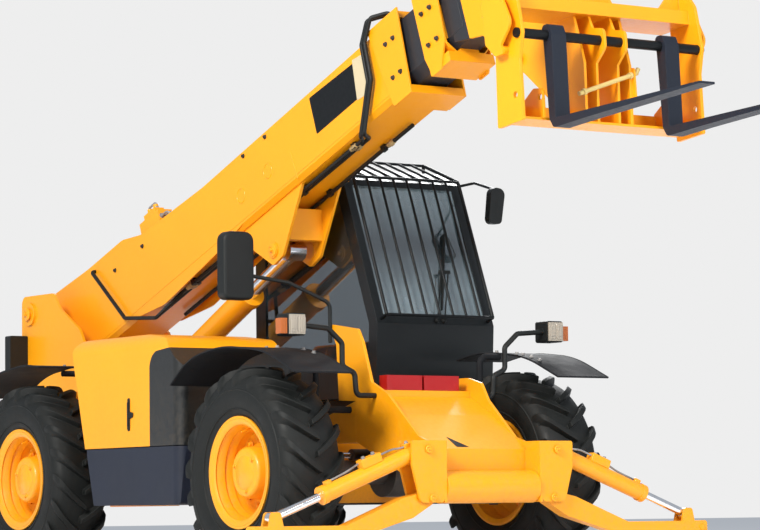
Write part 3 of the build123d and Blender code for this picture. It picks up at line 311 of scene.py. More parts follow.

# %% [markdown]
# ## Glass and lamps
# The cab's panes are lightly tinted and let the inside show, so they are a mix of a clear pane
# and a mirror that grows towards grazing angles. On the front pane a pale blue-grey layer of painted
# light brightens a band at its foot and another near its head. Lamp lenses carry fluting pressed into them.


# %% Glass and lamps
def pane(name, tint, mirror):
    material, tree = new_material(name)
    smear = speckle(tree, 3.0, 5.0)
    height = place_parts(tree)["Z"]
    # painted light: a band mask, full at the front pane's foot and up to 0.8 near its head, made patchy by the noise
    painted_light_bands = plus(tree, between(tree, height, 2.05, 1.58), between(tree, height, 2.12, 2.42, 0.0, 0.8))
    facing = parts_of(tree, add_node(tree, "TexCoord").outputs["Normal"])["X"]
    front_pane = calculate(tree, "GREATER_THAN", facing, 0.5)
    painted_light_bands = times(tree, times(tree, painted_light_bands, between(tree, smear, 0.25, 0.75, 0.16, 0.46)), front_pane)
    clear = add_node(tree, "BsdfTransparent", Color=tint)
    smooth = between(tree, smear, 0.3, 0.8, 0.01, 0.06)
    shine = add_node(tree, "BsdfGlossy", Color=colour(0.9, 0.93, 0.95), Roughness=smooth)
    share = plus(tree, add_node(tree, "Fresnel", IOR=1.5).outputs[0], mirror)
    mixed = add_node(tree, "MixShader", i0=share, i1=clear.outputs[0], i2=shine.outputs[0])
    # painted light: a pale blue-grey diffuse layer mixed over the front pane by the band mask above
    dust = add_node(tree, "BsdfDiffuse", Color=colour(0.42, 0.52, 0.56))
    pane_with_painted_light = add_node(tree, "MixShader", i0=plus(tree, painted_light_bands, 0.02), i1=mixed.outputs[0], i2=dust.outputs[0])
    add_node(tree, "OutputMaterial", Surface=pane_with_painted_light.outputs[0])
    return material


def lens(name, base):
    material, tree = new_material(name)
    bands = {"wave_type": "BANDS", "bands_direction": "Y"}
    flutes = add_node(tree, "TexWave", bands, Vector=place_of(tree), Scale=28.0).outputs["Fac"]
    smooth = between(tree, speckle(tree, 30.0), 0.3, 0.7, 0.06, 0.16)
    surface(tree, base, smooth, bumps(tree, flutes, 0.003, 0.6), Coat_Weight=0.6)
    return material


cab_glass = pane("cab_glass", colour(0.50, 0.60, 0.62), 0.16)
lamp_glass = lens("lamp_glass", colour(0.36, 0.32, 0.26))
amber_lens = lens("amber_lens", colour(0.42, 0.11, 0.02))
red_paint = paint("red_paint", colour(0.33, 0.006, 0.008), 0.35, 0.1, 0.15)

# %% [markdown]
# ## Dressing the ready-made parts
# Each part takes the finish of what it is made of on the real machine. Only the material slots
# change here, never a shape.

# %% Dress the parts
FINISH_OF = (
    (("tyre_",), tyre_rubber),
    (("engine_pod",), pod_plastic),
    (("engine_cover",), hood_paint),
    (("knuckle_", "front_axle", "rear_axle", "transmission", "engine_block"), axle_iron),
    (("tie_rod_", "lift_rod", "tilt_rod", "leg_rod_"), rod_chrome),
    (("boom_middle",), middle_paint),
    (("boom_inner",), inner_paint),
    (("fork_left", "fork_right"), fork_paint),
    (("fork_shaft", "screen_guard"), black_paint),
    (("cab_frame", "cab_door"), cab_paint),
    (("cab_glass", "door_glass"), cab_glass),
    (("mudguards",), guard_plastic),
    (("cab_interior", "mirrors", "lamp_housings", "fuel_tank", "boom_pipes"), black_plastic),
    (("lamp_lenses",), lamp_glass),
    (("amber_lenses",), amber_lens),
    (("red_blocks",), red_paint),
)


def dress(name, part):
    chosen = yellow_paint
    for starts, finish in FINISH_OF:
        if name.startswith(starts):
            chosen = finish
            break
    for slot in part.material_slots:
        slot.material = chosen


for name, part in nodes.items():
    dress(name, part)
print("dressed", len(nodes), "parts")

# %% [markdown]
# ## Making pieces
# Every added piece is one mesh on one body. The helpers below collect simple solids (a ring of
# points swept along a path, a turned profile, a plate with rounded corners, a hexagon head) in a
# single mesh, then give the mesh a bevel, a finish and the body it rides on.


# %% Mesh helpers
SHARP_ANGLE = math.radians(40)
EASED_STEPS = 5


def as_piece(name, mesh, body, material, bevel=0.0):
    """Turn a bmesh into a finished piece that moves with a body."""
    bmesh.ops.remove_doubles(mesh, verts=mesh.verts, dist=1e-6)
    bmesh.ops.recalc_face_normals(mesh, faces=mesh.faces)
    data = bpy.data.meshes.new(name)
    mesh.to_mesh(data)
    mesh.free()
    piece = bpy.data.objects.new(name, data)
    bpy.context.scene.collection.objects.link(piece)
    data.materials.append(material)
    if bevel:
        softener = piece.modifiers.new("soft edges", "BEVEL")
        softener.width, softener.segments, softener.limit_method = bevel, 2, "ANGLE"
        softener.angle_limit = SHARP_ANGLE
    data.shade_smooth()
    data.set_sharp_from_angle(angle=SHARP_ANGLE)
    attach(piece, body)
    return piece


def ring_of_faces(mesh, rows):
    """Skin a list of closed rows of points into a tube and cap both ends."""
    grid = [[mesh.verts.new(point) for point in row] for row in rows]
    count = len(grid[0])
    for low, high in zip(grid, grid[1:]):
        for index in range(count):
            following = (index + 1) % count
            mesh.faces.new((low[index], low[following], high[following], high[index]))
    mesh.faces.new(list(reversed(grid[0])))
    mesh.faces.new(grid[-1])


def across_axes(direction):
    """Two unit vectors square to a direction and to each other."""
    direction = Vector(direction).normalized()
    helper = Vector((0, 0, 1)) if abs(direction.z) < 0.9 else Vector((1, 0, 0))
    side = direction.cross(helper).normalized()
    return side, side.cross(direction).normalized()


def spoke(side, up, angle):
    return math.cos(angle) * side + math.sin(angle) * up


def turned(mesh, centre, axis, profile, steps=48):
    """A profile of (distance along the axis, radius) turned round the axis."""
    side, up = across_axes(axis)
    axis = Vector(axis).normalized()
    centre = Vector(centre)
    grid = []
    for step in range(steps):
        out = spoke(side, up, 2 * math.pi * step / steps)
        grid.append([mesh.verts.new(centre + axis * along + out * radius) for along, radius in profile])
    for low, high in zip(grid, grid[1:] + grid[:1]):
        for index in range(len(profile) - 1):
            corners = []
            for corner in (low[index], low[index + 1], high[index + 1], high[index]):
                if all((corner.co - other.co).length > 1e-7 for other in corners):
                    corners.append(corner)
            if len(corners) > 2:
                mesh.faces.new(corners)


def collar(mesh, centre, axis, half_length, inner, outer, steps):
    """A ring of rectangular section round an axis."""
    back, front = -half_length, half_length
    turned(mesh, centre, axis, [(back, inner), (back, outer), (front, outer), (front, inner), (back, inner)], steps)


def hex_bolt(mesh, place, outwards, size=0.024):
    """A hexagon head on a washer, its shank hidden in the plate; size is across the flats."""
    place, outwards = Vector(place), Vector(outwards).normalized()
    wide, narrow = size * 0.78, size * 0.7
    turned(mesh, place, outwards, [(-0.001, 0.0), (-0.001, wide), (0.0015, wide), (0.003, narrow), (0.003, 0.0)], 20)
    side, up = across_axes(outwards)
    flats = size / math.sqrt(3)
    ring_of_faces(mesh, [
        [place + outwards * height + spoke(side, up, math.radians(60 * k)) * flats * reach for k in range(6)]
        for height, reach in ((0.002, 1.0), (0.002 + size * 0.5, 1.0), (0.002 + size * 0.6, 0.86))
    ])


def eased_corner(before, corner, after, radius, most):
    """Points of a soft turn at a corner; most is the share of a side that the turn may take."""
    back, ahead = before - corner, after - corner
    reach = min(radius, back.length * most, ahead.length * most)
    start, end = corner + back.normalized() * reach, corner + ahead.normalized() * reach
    shares = [step / EASED_STEPS for step in range(EASED_STEPS + 1)]
    return [start * (1 - share) ** 2 + corner * 2 * share * (1 - share) + end * share ** 2 for share in shares]


def swept(mesh, points, radius, sides=12, turn_radius=0.03):
    """A round tube along straight runs whose corners are rounded."""
    points = [Vector(point) for point in points]
    centres = [points[0]]
    for before, corner, after in zip(points, points[1:], points[2:]):
        centres += eased_corner(before, corner, after, turn_radius, 0.48)
    centres.append(points[-1])
    rows, side = [], None
    for index, point in enumerate(centres):
        before = centres[max(index - 1, 0)]
        after = centres[min(index + 1, len(centres) - 1)]
        ahead = (after - before).normalized()
        side = across_axes(ahead)[0] if side is None else (side - ahead * side.dot(ahead)).normalized()
        up = side.cross(ahead)
        rows.append([point + spoke(side, up, 2 * math.pi * k / sides) * radius for k in range(sides)])
    ring_of_faces(mesh, rows)


def rectangle(a_low, a_high, b_low, b_high):
    return [(a_low, b_low), (a_high, b_low), (a_high, b_high), (a_low, b_high)]


def plate(mesh, corners, place, thickness, radius=0.01):
    """A flat plate with rounded corners; place maps (a, b, depth) to a point in space."""
    corners = [Vector(corner) for corner in corners]
    flat = []
    for before, corner, after in zip(corners[-1:] + corners, corners, corners[1:] + corners[:1]):
        flat += eased_corner(before, corner, after, radius, 0.45)
    ring_of_faces(mesh, [[Vector(place(point[0], point[1], depth)) for point in flat] for depth in thickness])


# %% [markdown]
# ## Places
# Sizes come from the ready-made parts' boxes, and the boom has its own slanted frame: u runs
# along it from its pivot, v is square to it.

# %% Places
joints = {joint["name"]: joint for joint in frame["record"]["behaviour"]["joints"]}
BOOM_HALF = 0.190
WHEEL_LEVEL = 0.62
WHEELS = {}
for name in ("front_left", "front_right", "rear_left", "rear_right"):
    low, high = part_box(f"tyre_{name}")
    WHEELS[name] = Vector(((low[0] + high[0]) / 2, (low[1] + high[1]) / 2, WHEEL_LEVEL))
FRONT_AXLE_X, REAR_AXLE_X = WHEELS["front_left"].x, WHEELS["rear_left"].x
print("wheels", {name: tuple(round(value, 3) for value in centre) for name, centre in WHEELS.items()})


def on_boom(u, y, v):
    """A point given along the boom, across it and above its line."""
    return Vector((
        BOOM_PIVOT.x + u * math.cos(BOOM_ANGLE) - v * math.sin(BOOM_ANGLE), y,
        BOOM_PIVOT.z + u * math.sin(BOOM_ANGLE) + v * math.cos(BOOM_ANGLE),
    ))


BOOM_UP = Vector((-math.sin(BOOM_ANGLE), 0, math.cos(BOOM_ANGLE)))
BOOM_AHEAD = (on_boom(1.0, 0, 0) - on_boom(0.0, 0, 0)).normalized()
RIGHT, LEFT = Vector((0, -1, 0)), Vector((0, 1, 0))

# %% [markdown]
# ## Tyres
# Traction tyres have long curved lugs that meet in chevrons on the crown and run down over the
# shoulders, so that mud is pressed out sideways. The casing is one turned profile, and each lug
# is a tapering bar laid along a curve on it. Two mirror-image rows stand half a pitch apart.

# %% Tyres
LUGS_PER_ROW = 20
TYRE_PROFILE = [
    # across from the middle, radius
    (-0.160, 0.3055), (-0.163, 0.336), (-0.176, 0.350), (-0.192, 0.400), (-0.197, 0.450),
    (-0.194, 0.500), (-0.180, 0.540), (-0.150, 0.566), (-0.080, 0.578), (0.0, 0.581),
]


def casing_radius(across):
    across = abs(across)
    points = [(-a, r) for a, r in TYRE_PROFILE[5:]]
    for (far, low), (near, high) in zip(points, points[1:]):
        if near <= across <= far:
            return low + (high - low) * (far - across) / (far - near)
    return TYRE_PROFILE[-1][1] if across < 0.01 else 0.5


LUG_STATIONS = [
    # across, angle swept in degrees, half width, radius of its top
    (-0.012, 0.0, 0.015, 0.6195), (0.030, 2.6, 0.018, 0.6195), (0.075, 5.6, 0.020, 0.6180),
    (0.120, 9.2, 0.022, 0.6140), (0.155, 12.6, 0.024, 0.6060), (0.182, 15.6, 0.025, 0.5900),
    (0.196, 18.0, 0.024, 0.5600), (0.1985, 19.6, 0.020, 0.5200),
]
SHOULDER_RINGS = ((0.372, 0.1865, 0.0035), (0.486, 0.1955, 0.003))


def lug(mesh, centre, row, start_angle):
    """One lug from the crown over the shoulder; row is the side that it lies on."""
    rows = []
    for index, (across, swept_by, half, top) in enumerate(LUG_STATIONS):
        foot = min(casing_radius(across) - 0.008, top - 0.012) if index < 6 else top - 0.05
        foot_across = across if index < 6 else across - 0.016
        ring = []
        section = ((-1.25, foot, foot_across), (-1.0, top, across), (1.0, top, across), (1.25, foot, foot_across))
        for share, radius, offset in section:
            angle = math.radians(start_angle - swept_by) + share * half / 0.6
            ring.append(centre + Vector((math.sin(angle) * radius, row * offset, math.cos(angle) * radius)))
        rows.append(ring)
    ring_of_faces(mesh, rows)


def make_tyre(name, centre):
    mesh = bmesh.new()
    profile = TYRE_PROFILE + [(-a, r) for a, r in reversed(TYRE_PROFILE[:-1])]
    turned(mesh, centre, (0, 1, 0), profile + [profile[0]], 120)
    for row in (1, -1):
        for index in range(LUGS_PER_ROW):
            lug(mesh, centre, row, 360 / LUGS_PER_ROW * (index + (0.5 if row > 0 else 0.0)))
    for side in (1, -1):
        for radius, across, proud in SHOULDER_RINGS:
            turned(mesh, centre + Vector((0, side * across, 0)), (0, side, 0), [
                (-0.004, radius - 0.005), (proud, radius - 0.003), (proud, radius + 0.003), (-0.004, radius + 0.005),
            ], 96)
    piece = as_piece(f"dressed_tyre_{name}", mesh, f"wheel_{name}", tyre_rubber, bevel=0.004)
    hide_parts(f"tyre_{name}")


for name, centre in WHEELS.items():
    make_tyre(name, centre)
print("tyres", len(WHEELS), "lugs each", 2 * LUGS_PER_ROW)

# %% [markdown]
# ## Wheel centres
# The wheel's dish has rolled steps that stiffen it, and in its middle the hub's gear case stands
# out, wide and flat, with a ring of nuts at its foot and a filler plug in its cover.

# %% Wheel centres
HUB_STEPS = [
    (0.002, 0.2475), (0.050, 0.2570), (0.052, 0.2500), (0.060, 0.2500), (0.098, 0.2700), (0.102, 0.2620),
    (0.112, 0.2620), (0.150, 0.2840), (0.158, 0.2780), (0.166, 0.2880), (0.1725, 0.2990), (0.1735, 0.3120),
]
HUB_CASE = [
    (0.006, 0.0), (0.006, 0.176), (0.022, 0.174), (0.030, 0.158), (0.112, 0.150),
    (0.128, 0.140), (0.132, 0.128), (0.130, 0.100), (0.138, 0.090), (0.138, 0.0),
]
# how many in the ring, first angle, height above the hub's foot, radius of the ring, size
HUB_NUTS = ((10, 12, 0.022, 0.193, 0.024), (3, 40, 0.131, 0.112, 0.017))
# outwards from the wheel's middle, up
VALVE_STEM = ((0.085, 0.262), (0.112, 0.245), (0.150, 0.236))


def make_wheel_centre(name, centre, outer_side):
    outwards = Vector((0, outer_side, 0))
    mesh = bmesh.new()
    turned(mesh, centre, outwards, HUB_STEPS, 96)
    turned(mesh, centre, outwards, HUB_CASE, 72)
    as_piece(f"hub_case_{name}", mesh, f"wheel_{name}", yellow_paint, bevel=0.002)
    mesh = bmesh.new()
    for count, first, height, radius, size in HUB_NUTS:
        for index in range(count):
            angle = math.radians(360 // count * index + first)
            reach = Vector((math.cos(angle), 0, math.sin(angle))) * radius
            hex_bolt(mesh, centre + outwards * height + reach, outwards, size)
    swept(mesh, [centre + Vector((0.0, outer_side * out, up)) for out, up in VALVE_STEM], 0.005, 8)
    as_piece(f"wheel_nuts_{name}", mesh, f"wheel_{name}", yellow_paint)


for name, centre in WHEELS.items():
    make_wheel_centre(name, centre, 1 if name.endswith("left") else -1)
print("wheel centres", len(WHEELS))

# %% [markdown]
# ## Small solids that repeat
# Weld beads, pin ends and blocks turn up all over the machine, so each is one short function. A
# pin's end has a thick washer held by a screw, and a grease nipple beside the screw.


# %% Small solids
NIPPLE = [(0.0, 0.0), (0.0, 0.004), (0.004, 0.004), (0.005, 0.0022), (0.009, 0.003), (0.011, 0.0)]


def crate(mesh, place, low, high):
    """A block between two corners; place maps (a, b, c) to a point in space."""
    (a0, b0, c0), (a1, b1, c1) = low, high
    ring_of_faces(mesh, [[Vector(place(a, b, c)) for a, b in rectangle(a0, a1, b0, b1)] for c in (c0, c1)])


def weld_ring(mesh, centre, outwards, radius, width=0.006):
    turned(mesh, centre, outwards, [
        (-0.001, radius - width), (0.003, radius - width * 0.4), (0.003, radius + width * 0.4),
        (-0.001, radius + width), (-0.001, radius - width),
    ], 40)


def pin_end(mesh, centre, outwards, radius):
    centre, outwards = Vector(centre), Vector(outwards).normalized()
    turned(mesh, centre, outwards, [
        (-0.002, 0.0), (-0.002, radius * 1.25), (0.004, radius * 1.25), (0.0065, radius * 1.15), (0.0065, 0.0),
    ], 40)
    hex_bolt(mesh, centre + outwards * 0.0055, outwards, radius * 0.75)
    side, up = across_axes(outwards)
    nipple = centre + outwards * 0.0055 + (side + up) * radius * 0.6
    turned(mesh, nipple, outwards, NIPPLE, 10)


# %% [markdown]
# ## Marks, welds and bolts on the boom
# The boom's box is folded plate. Round plugs are welded over the holes that its wear pads are set
# through, small screws at the top edge hold the pads, and a dark and a pale plate stand where a
# maker would put its signs; here they stay bare.

# %% Boom marks
PAD_HOLES = ((2.62, -0.296), (2.97, -0.285))
PAD_SCREWS = ((2.74, -0.070), (3.02, -0.070), (0.95, -0.075), (1.35, -0.075))
COLLAR_SCREWS = ((4.463, -0.16), (4.547, -0.16), (4.463, -0.384), (4.547, -0.384))
NEXT_COLLAR_SCREWS = ((4.835, -0.150), (4.923, -0.150), (4.835, -0.357), (4.923, -0.357))
OUTER_COLLAR_HALF, NEXT_COLLAR_HALF = 0.202, 0.182


def boom_panel(name, corners, material, proud):
    mesh = bmesh.new()
    plate(mesh, corners, lambda u, v, depth: on_boom(u, -(BOOM_HALF + depth), v), (-0.001, proud), 0.012)
    as_piece(name, mesh, "boom_outer", material)


pale_plate = paint("pale_plate", colour(0.56, 0.47, 0.30), 0.45, 0.1, 0.1)
DARK_CORNERS = [(3.572, -0.322), (4.236, -0.322), (4.236, -0.100), (3.572, -0.072)]
PALE_CORNERS = [(4.052, -0.330), (4.205, -0.344), (4.243, -0.096), (4.088, -0.072)]
boom_panel("boom_dark_panel", DARK_CORNERS, black_paint, 0.0008)
boom_panel("boom_pale_plate", PALE_CORNERS, pale_plate, 0.0020)

mesh = bmesh.new()
for outwards in (RIGHT, LEFT):
    face = outwards.y * BOOM_HALF
    for u, v in PAD_HOLES:
        weld_ring(mesh, on_boom(u, face, v), outwards, 0.048)
    swept(mesh, [on_boom(3.254, face, -0.283), on_boom(3.275, face, -0.486)], 0.003, 8)
    swept(mesh, [on_boom(u, face, -0.455) for u in (0.62, 4.37)], 0.0022, 6)
as_piece("boom_welds", mesh, "boom_outer", yellow_paint)


def side_screws(name, body, rows):
    """Screws on both sides of a boom stage; a row gives their places, the stage's half width, a size."""
    mesh = bmesh.new()
    for outwards in (RIGHT, LEFT):
        for places, half, size in rows:
            for u, v in places:
                hex_bolt(mesh, on_boom(u, outwards.y * half, v), outwards, size)
    as_piece(name, mesh, body, dark_steel)


OUTER_ROWS = ((PAD_SCREWS, BOOM_HALF, 0.020), (COLLAR_SCREWS, OUTER_COLLAR_HALF, 0.021))
side_screws("boom_outer_screws", "boom_outer", OUTER_ROWS)
side_screws("boom_middle_screws", "boom_middle", ((NEXT_COLLAR_SCREWS, NEXT_COLLAR_HALF, 0.020),))
print("boom screws", 2 * (len(PAD_SCREWS) + len(COLLAR_SCREWS) + len(NEXT_COLLAR_SCREWS)))

# %% [markdown]
# ## The valve block's unions
# Oil comes to the boom through a block on its back. Each port has a hexagon union, and short bent
# steel pipes join the ports two and two, so that nothing hangs loose where the boom folds.

# %% Valve unions
BLOCK_MIDDLE = -0.0975
mesh = bmesh.new()
for y in (-0.125, -0.095, -0.065):
    port = on_boom(1.560, y, 0.060)
    hex_bolt(mesh, port, BOOM_AHEAD, 0.024)
    bends = [on_boom(u, y, v) for u, v in ((1.640, 0.060), (1.675, -0.015), (1.86, -0.0305))]
    swept(mesh, [port + BOOM_AHEAD * 0.010] + bends, 0.0075, 10, 0.03)
    hex_bolt(mesh, on_boom(1.300, y, 0.045), -BOOM_AHEAD, 0.022)
for u in (1.375, 1.425, 1.475):
    hex_bolt(mesh, on_boom(u, BLOCK_MIDDLE, 0.150), BOOM_UP, 0.026)
loop = ((1.375, 0.155), (1.375, 0.200), (1.475, 0.200), (1.475, 0.155))
swept(mesh, [on_boom(u, BLOCK_MIDDLE, v) for u, v in loop], 0.008, 10, 0.035)
for start in (1.74, 1.84):
    clamp = rectangle(-0.145, -0.045, -0.040, -0.018)
    plate(mesh, clamp, lambda y, v, depth: on_boom(start + depth, y, v), (0.0, 0.022), 0.004)
as_piece("valve_unions", mesh, "boom_outer", bare_steel)
print("valve unions made")

# %% [markdown]
# ## Unions under the boom
# The long pipes under the boom are made up of lengths, and each joint has a brass union: two
# collars with a hexagon between them, a little thicker than the pipe.

# %% Pipe unions
PIPE_LEVEL, PIPE_ROWS, PIPE_RADIUS = -0.525, (-0.112, -0.084, 0.108), 0.013
mesh = bmesh.new()
for row in PIPE_ROWS:
    for u in (1.78 + row * 0.6, 3.86 + row * 0.4):
        union = on_boom(u, row, PIPE_LEVEL)
        collar(mesh, union, BOOM_AHEAD, 0.034, PIPE_RADIUS - 0.002, 0.0165, 20)
        collar(mesh, union, BOOM_AHEAD, 0.012, PIPE_RADIUS, 0.0205, 6)
as_piece("pipe_unions", mesh, "boom_outer", brass)
print("pipe unions", 2 * len(PIPE_ROWS))

# %% [markdown]
# ## Pin ends
# A worker greases every pin from its end, so the washers and nipples are what one sees of it.

# %% Pin ends
LIFT_FOOT_HALF, LEG_PIN_FACE_X, NOSE_HALF, LIFT_EYE_HALF = 0.368, 1.487, 0.185, 0.158


def pin_ends(name, body, rows):
    mesh = bmesh.new()
    for centre, outwards, radius in rows:
        pin_end(mesh, centre, outwards, radius)
    as_piece(name, mesh, body, yellow_paint)


pivot = joints["boom_lift"]["pos_m"]
lift_foot = joints["lift_barrel_swing"]["pos_m"]
tower_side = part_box("boom_tower")[1][1]
chassis_pins = []
for side in (1, -1):
    chassis_pins.append(((pivot[0], side * tower_side, pivot[2]), (0, side, 0), 0.036))
    chassis_pins.append(((lift_foot[0], side * LIFT_FOOT_HALF, lift_foot[2]), (0, side, 0), 0.032))
    for joint in ("leg_left_fold", "leg_barrel_left_swing"):
        place = joints[joint]["pos_m"]
        chassis_pins.append(((LEG_PIN_FACE_X, side * place[1], place[2]), (1, 0, 0), 0.020))
pin_ends("chassis_pin_ends", "chassis", chassis_pins)
tilt = joints["carriage_tilt"]["pos_m"]
nose_pins = [((tilt[0], side * NOSE_HALF, tilt[2]), (0, side, 0), 0.030) for side in (1, -1)]
pin_ends("nose_pin_ends", "boom_inner", nose_pins)
lift_pins = [(on_boom(2.800, side * LIFT_EYE_HALF, -0.760), (0, side, 0), 0.034) for side in (1, -1)]
pin_ends("lift_pin_ends", "boom_outer", lift_pins)
print("pin ends", len(chassis_pins) + len(nose_pins) + len(lift_pins))

# %% [markdown]
# ## The legs' lock valves
# A block bolted on each ram's barrel holds the oil if a hose fails, with a short pipe from it to
# the ram's head. Both stand on the barrel's upper side and swing with it.


# %% Lock valves
LOCK_PIPES = (
    ((0.292, 0.012, 0.074), (0.200, 0.012, 0.074), (0.150, 0.004, 0.060), (0.113, 0.004, 0.056)),
    ((0.428, -0.012, 0.074), (0.520, -0.012, 0.060), (0.652, -0.004, 0.056)),
)


def make_lock_valve(side_name):
    foot = Vector(joints[f"leg_barrel_{side_name}_swing"]["pos_m"])
    ahead = Vector(joints[f"leg_rod_{side_name}_slide"]["axis"]).normalized()
    above = Vector((0, -ahead.z * math.copysign(1, ahead.y), abs(ahead.y)))

    def on_barrel(along, across, height):
        return foot + ahead * along + Vector((across, 0, 0)) + above * height

    mesh = bmesh.new()
    crate(mesh, on_barrel, (0.290, -0.030, 0.040), (0.430, 0.030, 0.092))
    crate(mesh, on_barrel, (0.060, -0.020, 0.040), (0.115, 0.020, 0.070))
    crate(mesh, on_barrel, (0.650, -0.018, 0.040), (0.690, 0.018, 0.066))
    as_piece(f"lock_valve_{side_name}", mesh, f"leg_barrel_{side_name}", yellow_paint, bevel=0.003)
    mesh = bmesh.new()
    for along in (0.325, 0.395):
        hex_bolt(mesh, on_barrel(along, 0.0, 0.092), above, 0.020)
    hex_bolt(mesh, on_barrel(0.0875, 0.0, 0.070), above, 0.018)
    for line in LOCK_PIPES:
        swept(mesh, [on_barrel(*point) for point in line], 0.006, 10, 0.03)
    as_piece(f"lock_valve_pipes_{side_name}", mesh, f"leg_barrel_{side_name}", bare_steel)


for side_name in ("left", "right"):
    make_lock_valve(side_name)
print("lock valves 2")

# %% [markdown]
# ## The engine cover's latch
# One hand opens the cover: a flush black lever in a long dish, with a pull beside it. The dish is
# a rim with rounded ends and the lever a thinner bar inside it.

# %% Hood latch
cover_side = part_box("engine_cover")[0][1]


def on_cover(x, z, depth):
    return Vector((x, cover_side - depth, z))


mesh = bmesh.new()
plate(mesh, rectangle(-0.916, -0.886, 0.900, 1.104), on_cover, (-0.002, 0.004), 0.012)
plate(mesh, rectangle(-0.910, -0.892, 0.925, 1.080), on_cover, (0.003, 0.011), 0.008)
plate(mesh, [(-0.892, 0.975), (-0.845, 0.985), (-0.845, 1.012), (-0.892, 1.020)], on_cover, (-0.002, 0.008), 0.010)
LOCK_BARREL = [(0.0, 0.0), (0.0, 0.011), (0.006, 0.011), (0.008, 0.008), (0.008, 0.0)]
turned(mesh, on_cover(-0.901, 0.918, 0.003), (0, -1, 0), LOCK_BARREL, 24)
as_piece("hood_latch", mesh, "engine_cover", black_plastic, bevel=0.0012)
print("latch made")

# %% [markdown]
# ## Guards' edges
# A sheet guard would cut a hand or crack, so its edges are rolled. The roll is a thin tube along
# the same line of arcs as the guard: straight runs joined by true arcs of a known radius.


# %% Guard edges
def arc_path(points, steps=14):
    """Points of a line of straight runs whose corners are true arcs; each point may give a radius."""
    flat = [Vector(point[:2]) for point in points]
    path = [flat[0]]
    for index in range(1, len(flat) - 1):
        corner = flat[index]
        back = (flat[index - 1] - corner).normalized()
        ahead = (flat[index + 1] - corner).normalized()
        half_turn = (math.pi - back.angle(ahead)) / 2
        radius = points[index][2] if len(points[index]) > 2 else 0.0
        middle = corner + (back + ahead).normalized() * radius / math.cos(half_turn)
        start = corner + back * radius * math.tan(half_turn)
        end = corner + ahead * radius * math.tan(half_turn)
        for step in range(steps + 1):
            spoke = (start - middle).lerp(end - middle, step / steps)
            path.append(middle + spoke.normalized() * radius if radius else corner)
    path.append(flat[-1])
    return path


# points: ahead of the axle, above the wheel's middle, radius of the turn there
FRONT_RIGHT_LINE = (
    (0.655, 0.565), (0.325, 0.705, 1.0), (-0.170, 0.750, 1.3), (-0.530, 0.690, 0.6), (-0.735, 0.545),
)
FRONT_LEFT_LINE = ((0.655, 0.565), (0.325, 0.705, 1.0), (-0.120, 0.750, 1.2), (-0.380, 0.710))
REAR_LINE = ((0.600, 0.565), (0.325, 0.705, 0.9), (-0.120, 0.750, 1.0), (-0.330, 0.730))
# axle, the way that the line runs from it, side of the machine, line
GUARDS = (
    (FRONT_AXLE_X, 1, -1, FRONT_RIGHT_LINE),
    (FRONT_AXLE_X, 1, 1, FRONT_LEFT_LINE),
    (REAR_AXLE_X, -1, -1, REAR_LINE),
    (REAR_AXLE_X, -1, 1, REAR_LINE),
)
GUARD_OUTER_Y, GUARD_INNER_Y, GUARD_SCREW_Y, ROLL_RADIUS = 1.129, 0.746, 0.800, 0.0062
mesh = bmesh.new()
for axle_x, ahead, side, points in GUARDS:
    line = [(axle_x + ahead * point.x, 0.616 + point.y) for point in arc_path(points)]
    for y in (GUARD_OUTER_Y, GUARD_INNER_Y):
        swept(mesh, [(x, side * y, z) for x, z in line], ROLL_RADIUS, 8, 0.0001)
    for x, z in (line[0], line[-1]):
        swept(mesh, [(x, side * y, z) for y in (GUARD_INNER_Y, GUARD_OUTER_Y)], ROLL_RADIUS, 8)
as_piece("guard_edges", mesh, "chassis", guard_plastic)

mesh = bmesh.new()
for axle_x, ahead, side, points in GUARDS:
    line = [Vector((axle_x + ahead * point.x, 0.620 + point.y)) for point in arc_path(points)]
    for share in (0.16, 0.28, 0.40, 0.52, 0.64):
        index = int(share * (len(line) - 2))
        run = (line[index + 1] - line[index]).normalized()
        outwards = Vector((run.y, 0, -run.x))
        outwards *= math.copysign(1, outwards.z)
        hex_bolt(mesh, Vector((line[index].x, side * GUARD_SCREW_Y, line[index].y)), outwards, 0.020)
as_piece("guard_screws", mesh, "chassis", bare_steel)
print("guard edges", len(GUARDS))

# %% [markdown]
# ## The driver's seat
# A seat cushion is a foam block in a sewn cover: its sides pull in, its top is crowned, and the
# cover dips along each seam. A box drawn out to a rounded solid by one exponent gives the block,
# and a narrow dip along each seam line gives the sewn channels. The cover encloses the seat's
# plain shape and stands on its box.


# %% Seat
ROUNDNESS, CUSHION_STEPS, SEAMS, END_SEAM, CROWN = 7.0, 26, (-0.42, 0.42), 0.80, 0.018


def cushion(name, place, half):
    """A crowned block with sewn channels; place maps (a, b, c) to space, c is its thickness."""
    mesh = bmesh.new()
    points = {}

    def vertex(key):
        if key not in points:
            corner = [2.0 * value / CUSHION_STEPS - 1.0 for value in key]
            size = sum(abs(value) ** ROUNDNESS for value in corner) ** (1.0 / ROUNDNESS)
            a, b, c = (value / size for value in corner)
            depth = half[2] * c
            if c > 0.35:
                dip = sum(math.exp(-((b - seam) / 0.045) ** 2) for seam in SEAMS)
                dip += math.exp(-((abs(a) - END_SEAM) / 0.05) ** 2)
                depth += CROWN * (1.0 - a ** 4) * (1.0 - b ** 4) - 0.010 * min(dip, 1.2) * (c - 0.35)
            points[key] = mesh.verts.new(place(half[0] * a, half[1] * b, depth))
        return points[key]

    for axis in range(3):
        for level in (0, CUSHION_STEPS):
            for i in range(CUSHION_STEPS):
                for j in range(CUSHION_STEPS):
                    keys = []
                    for di, dj in ((0, 0), (1, 0), (1, 1), (0, 1)):
                        key = [i + di, j + dj]
                        key.insert(axis, level)
                        keys.append(tuple(key))
                    mesh.faces.new([vertex(key) for key in keys])
    piece = as_piece(name, mesh, "chassis", seat_vinyl)


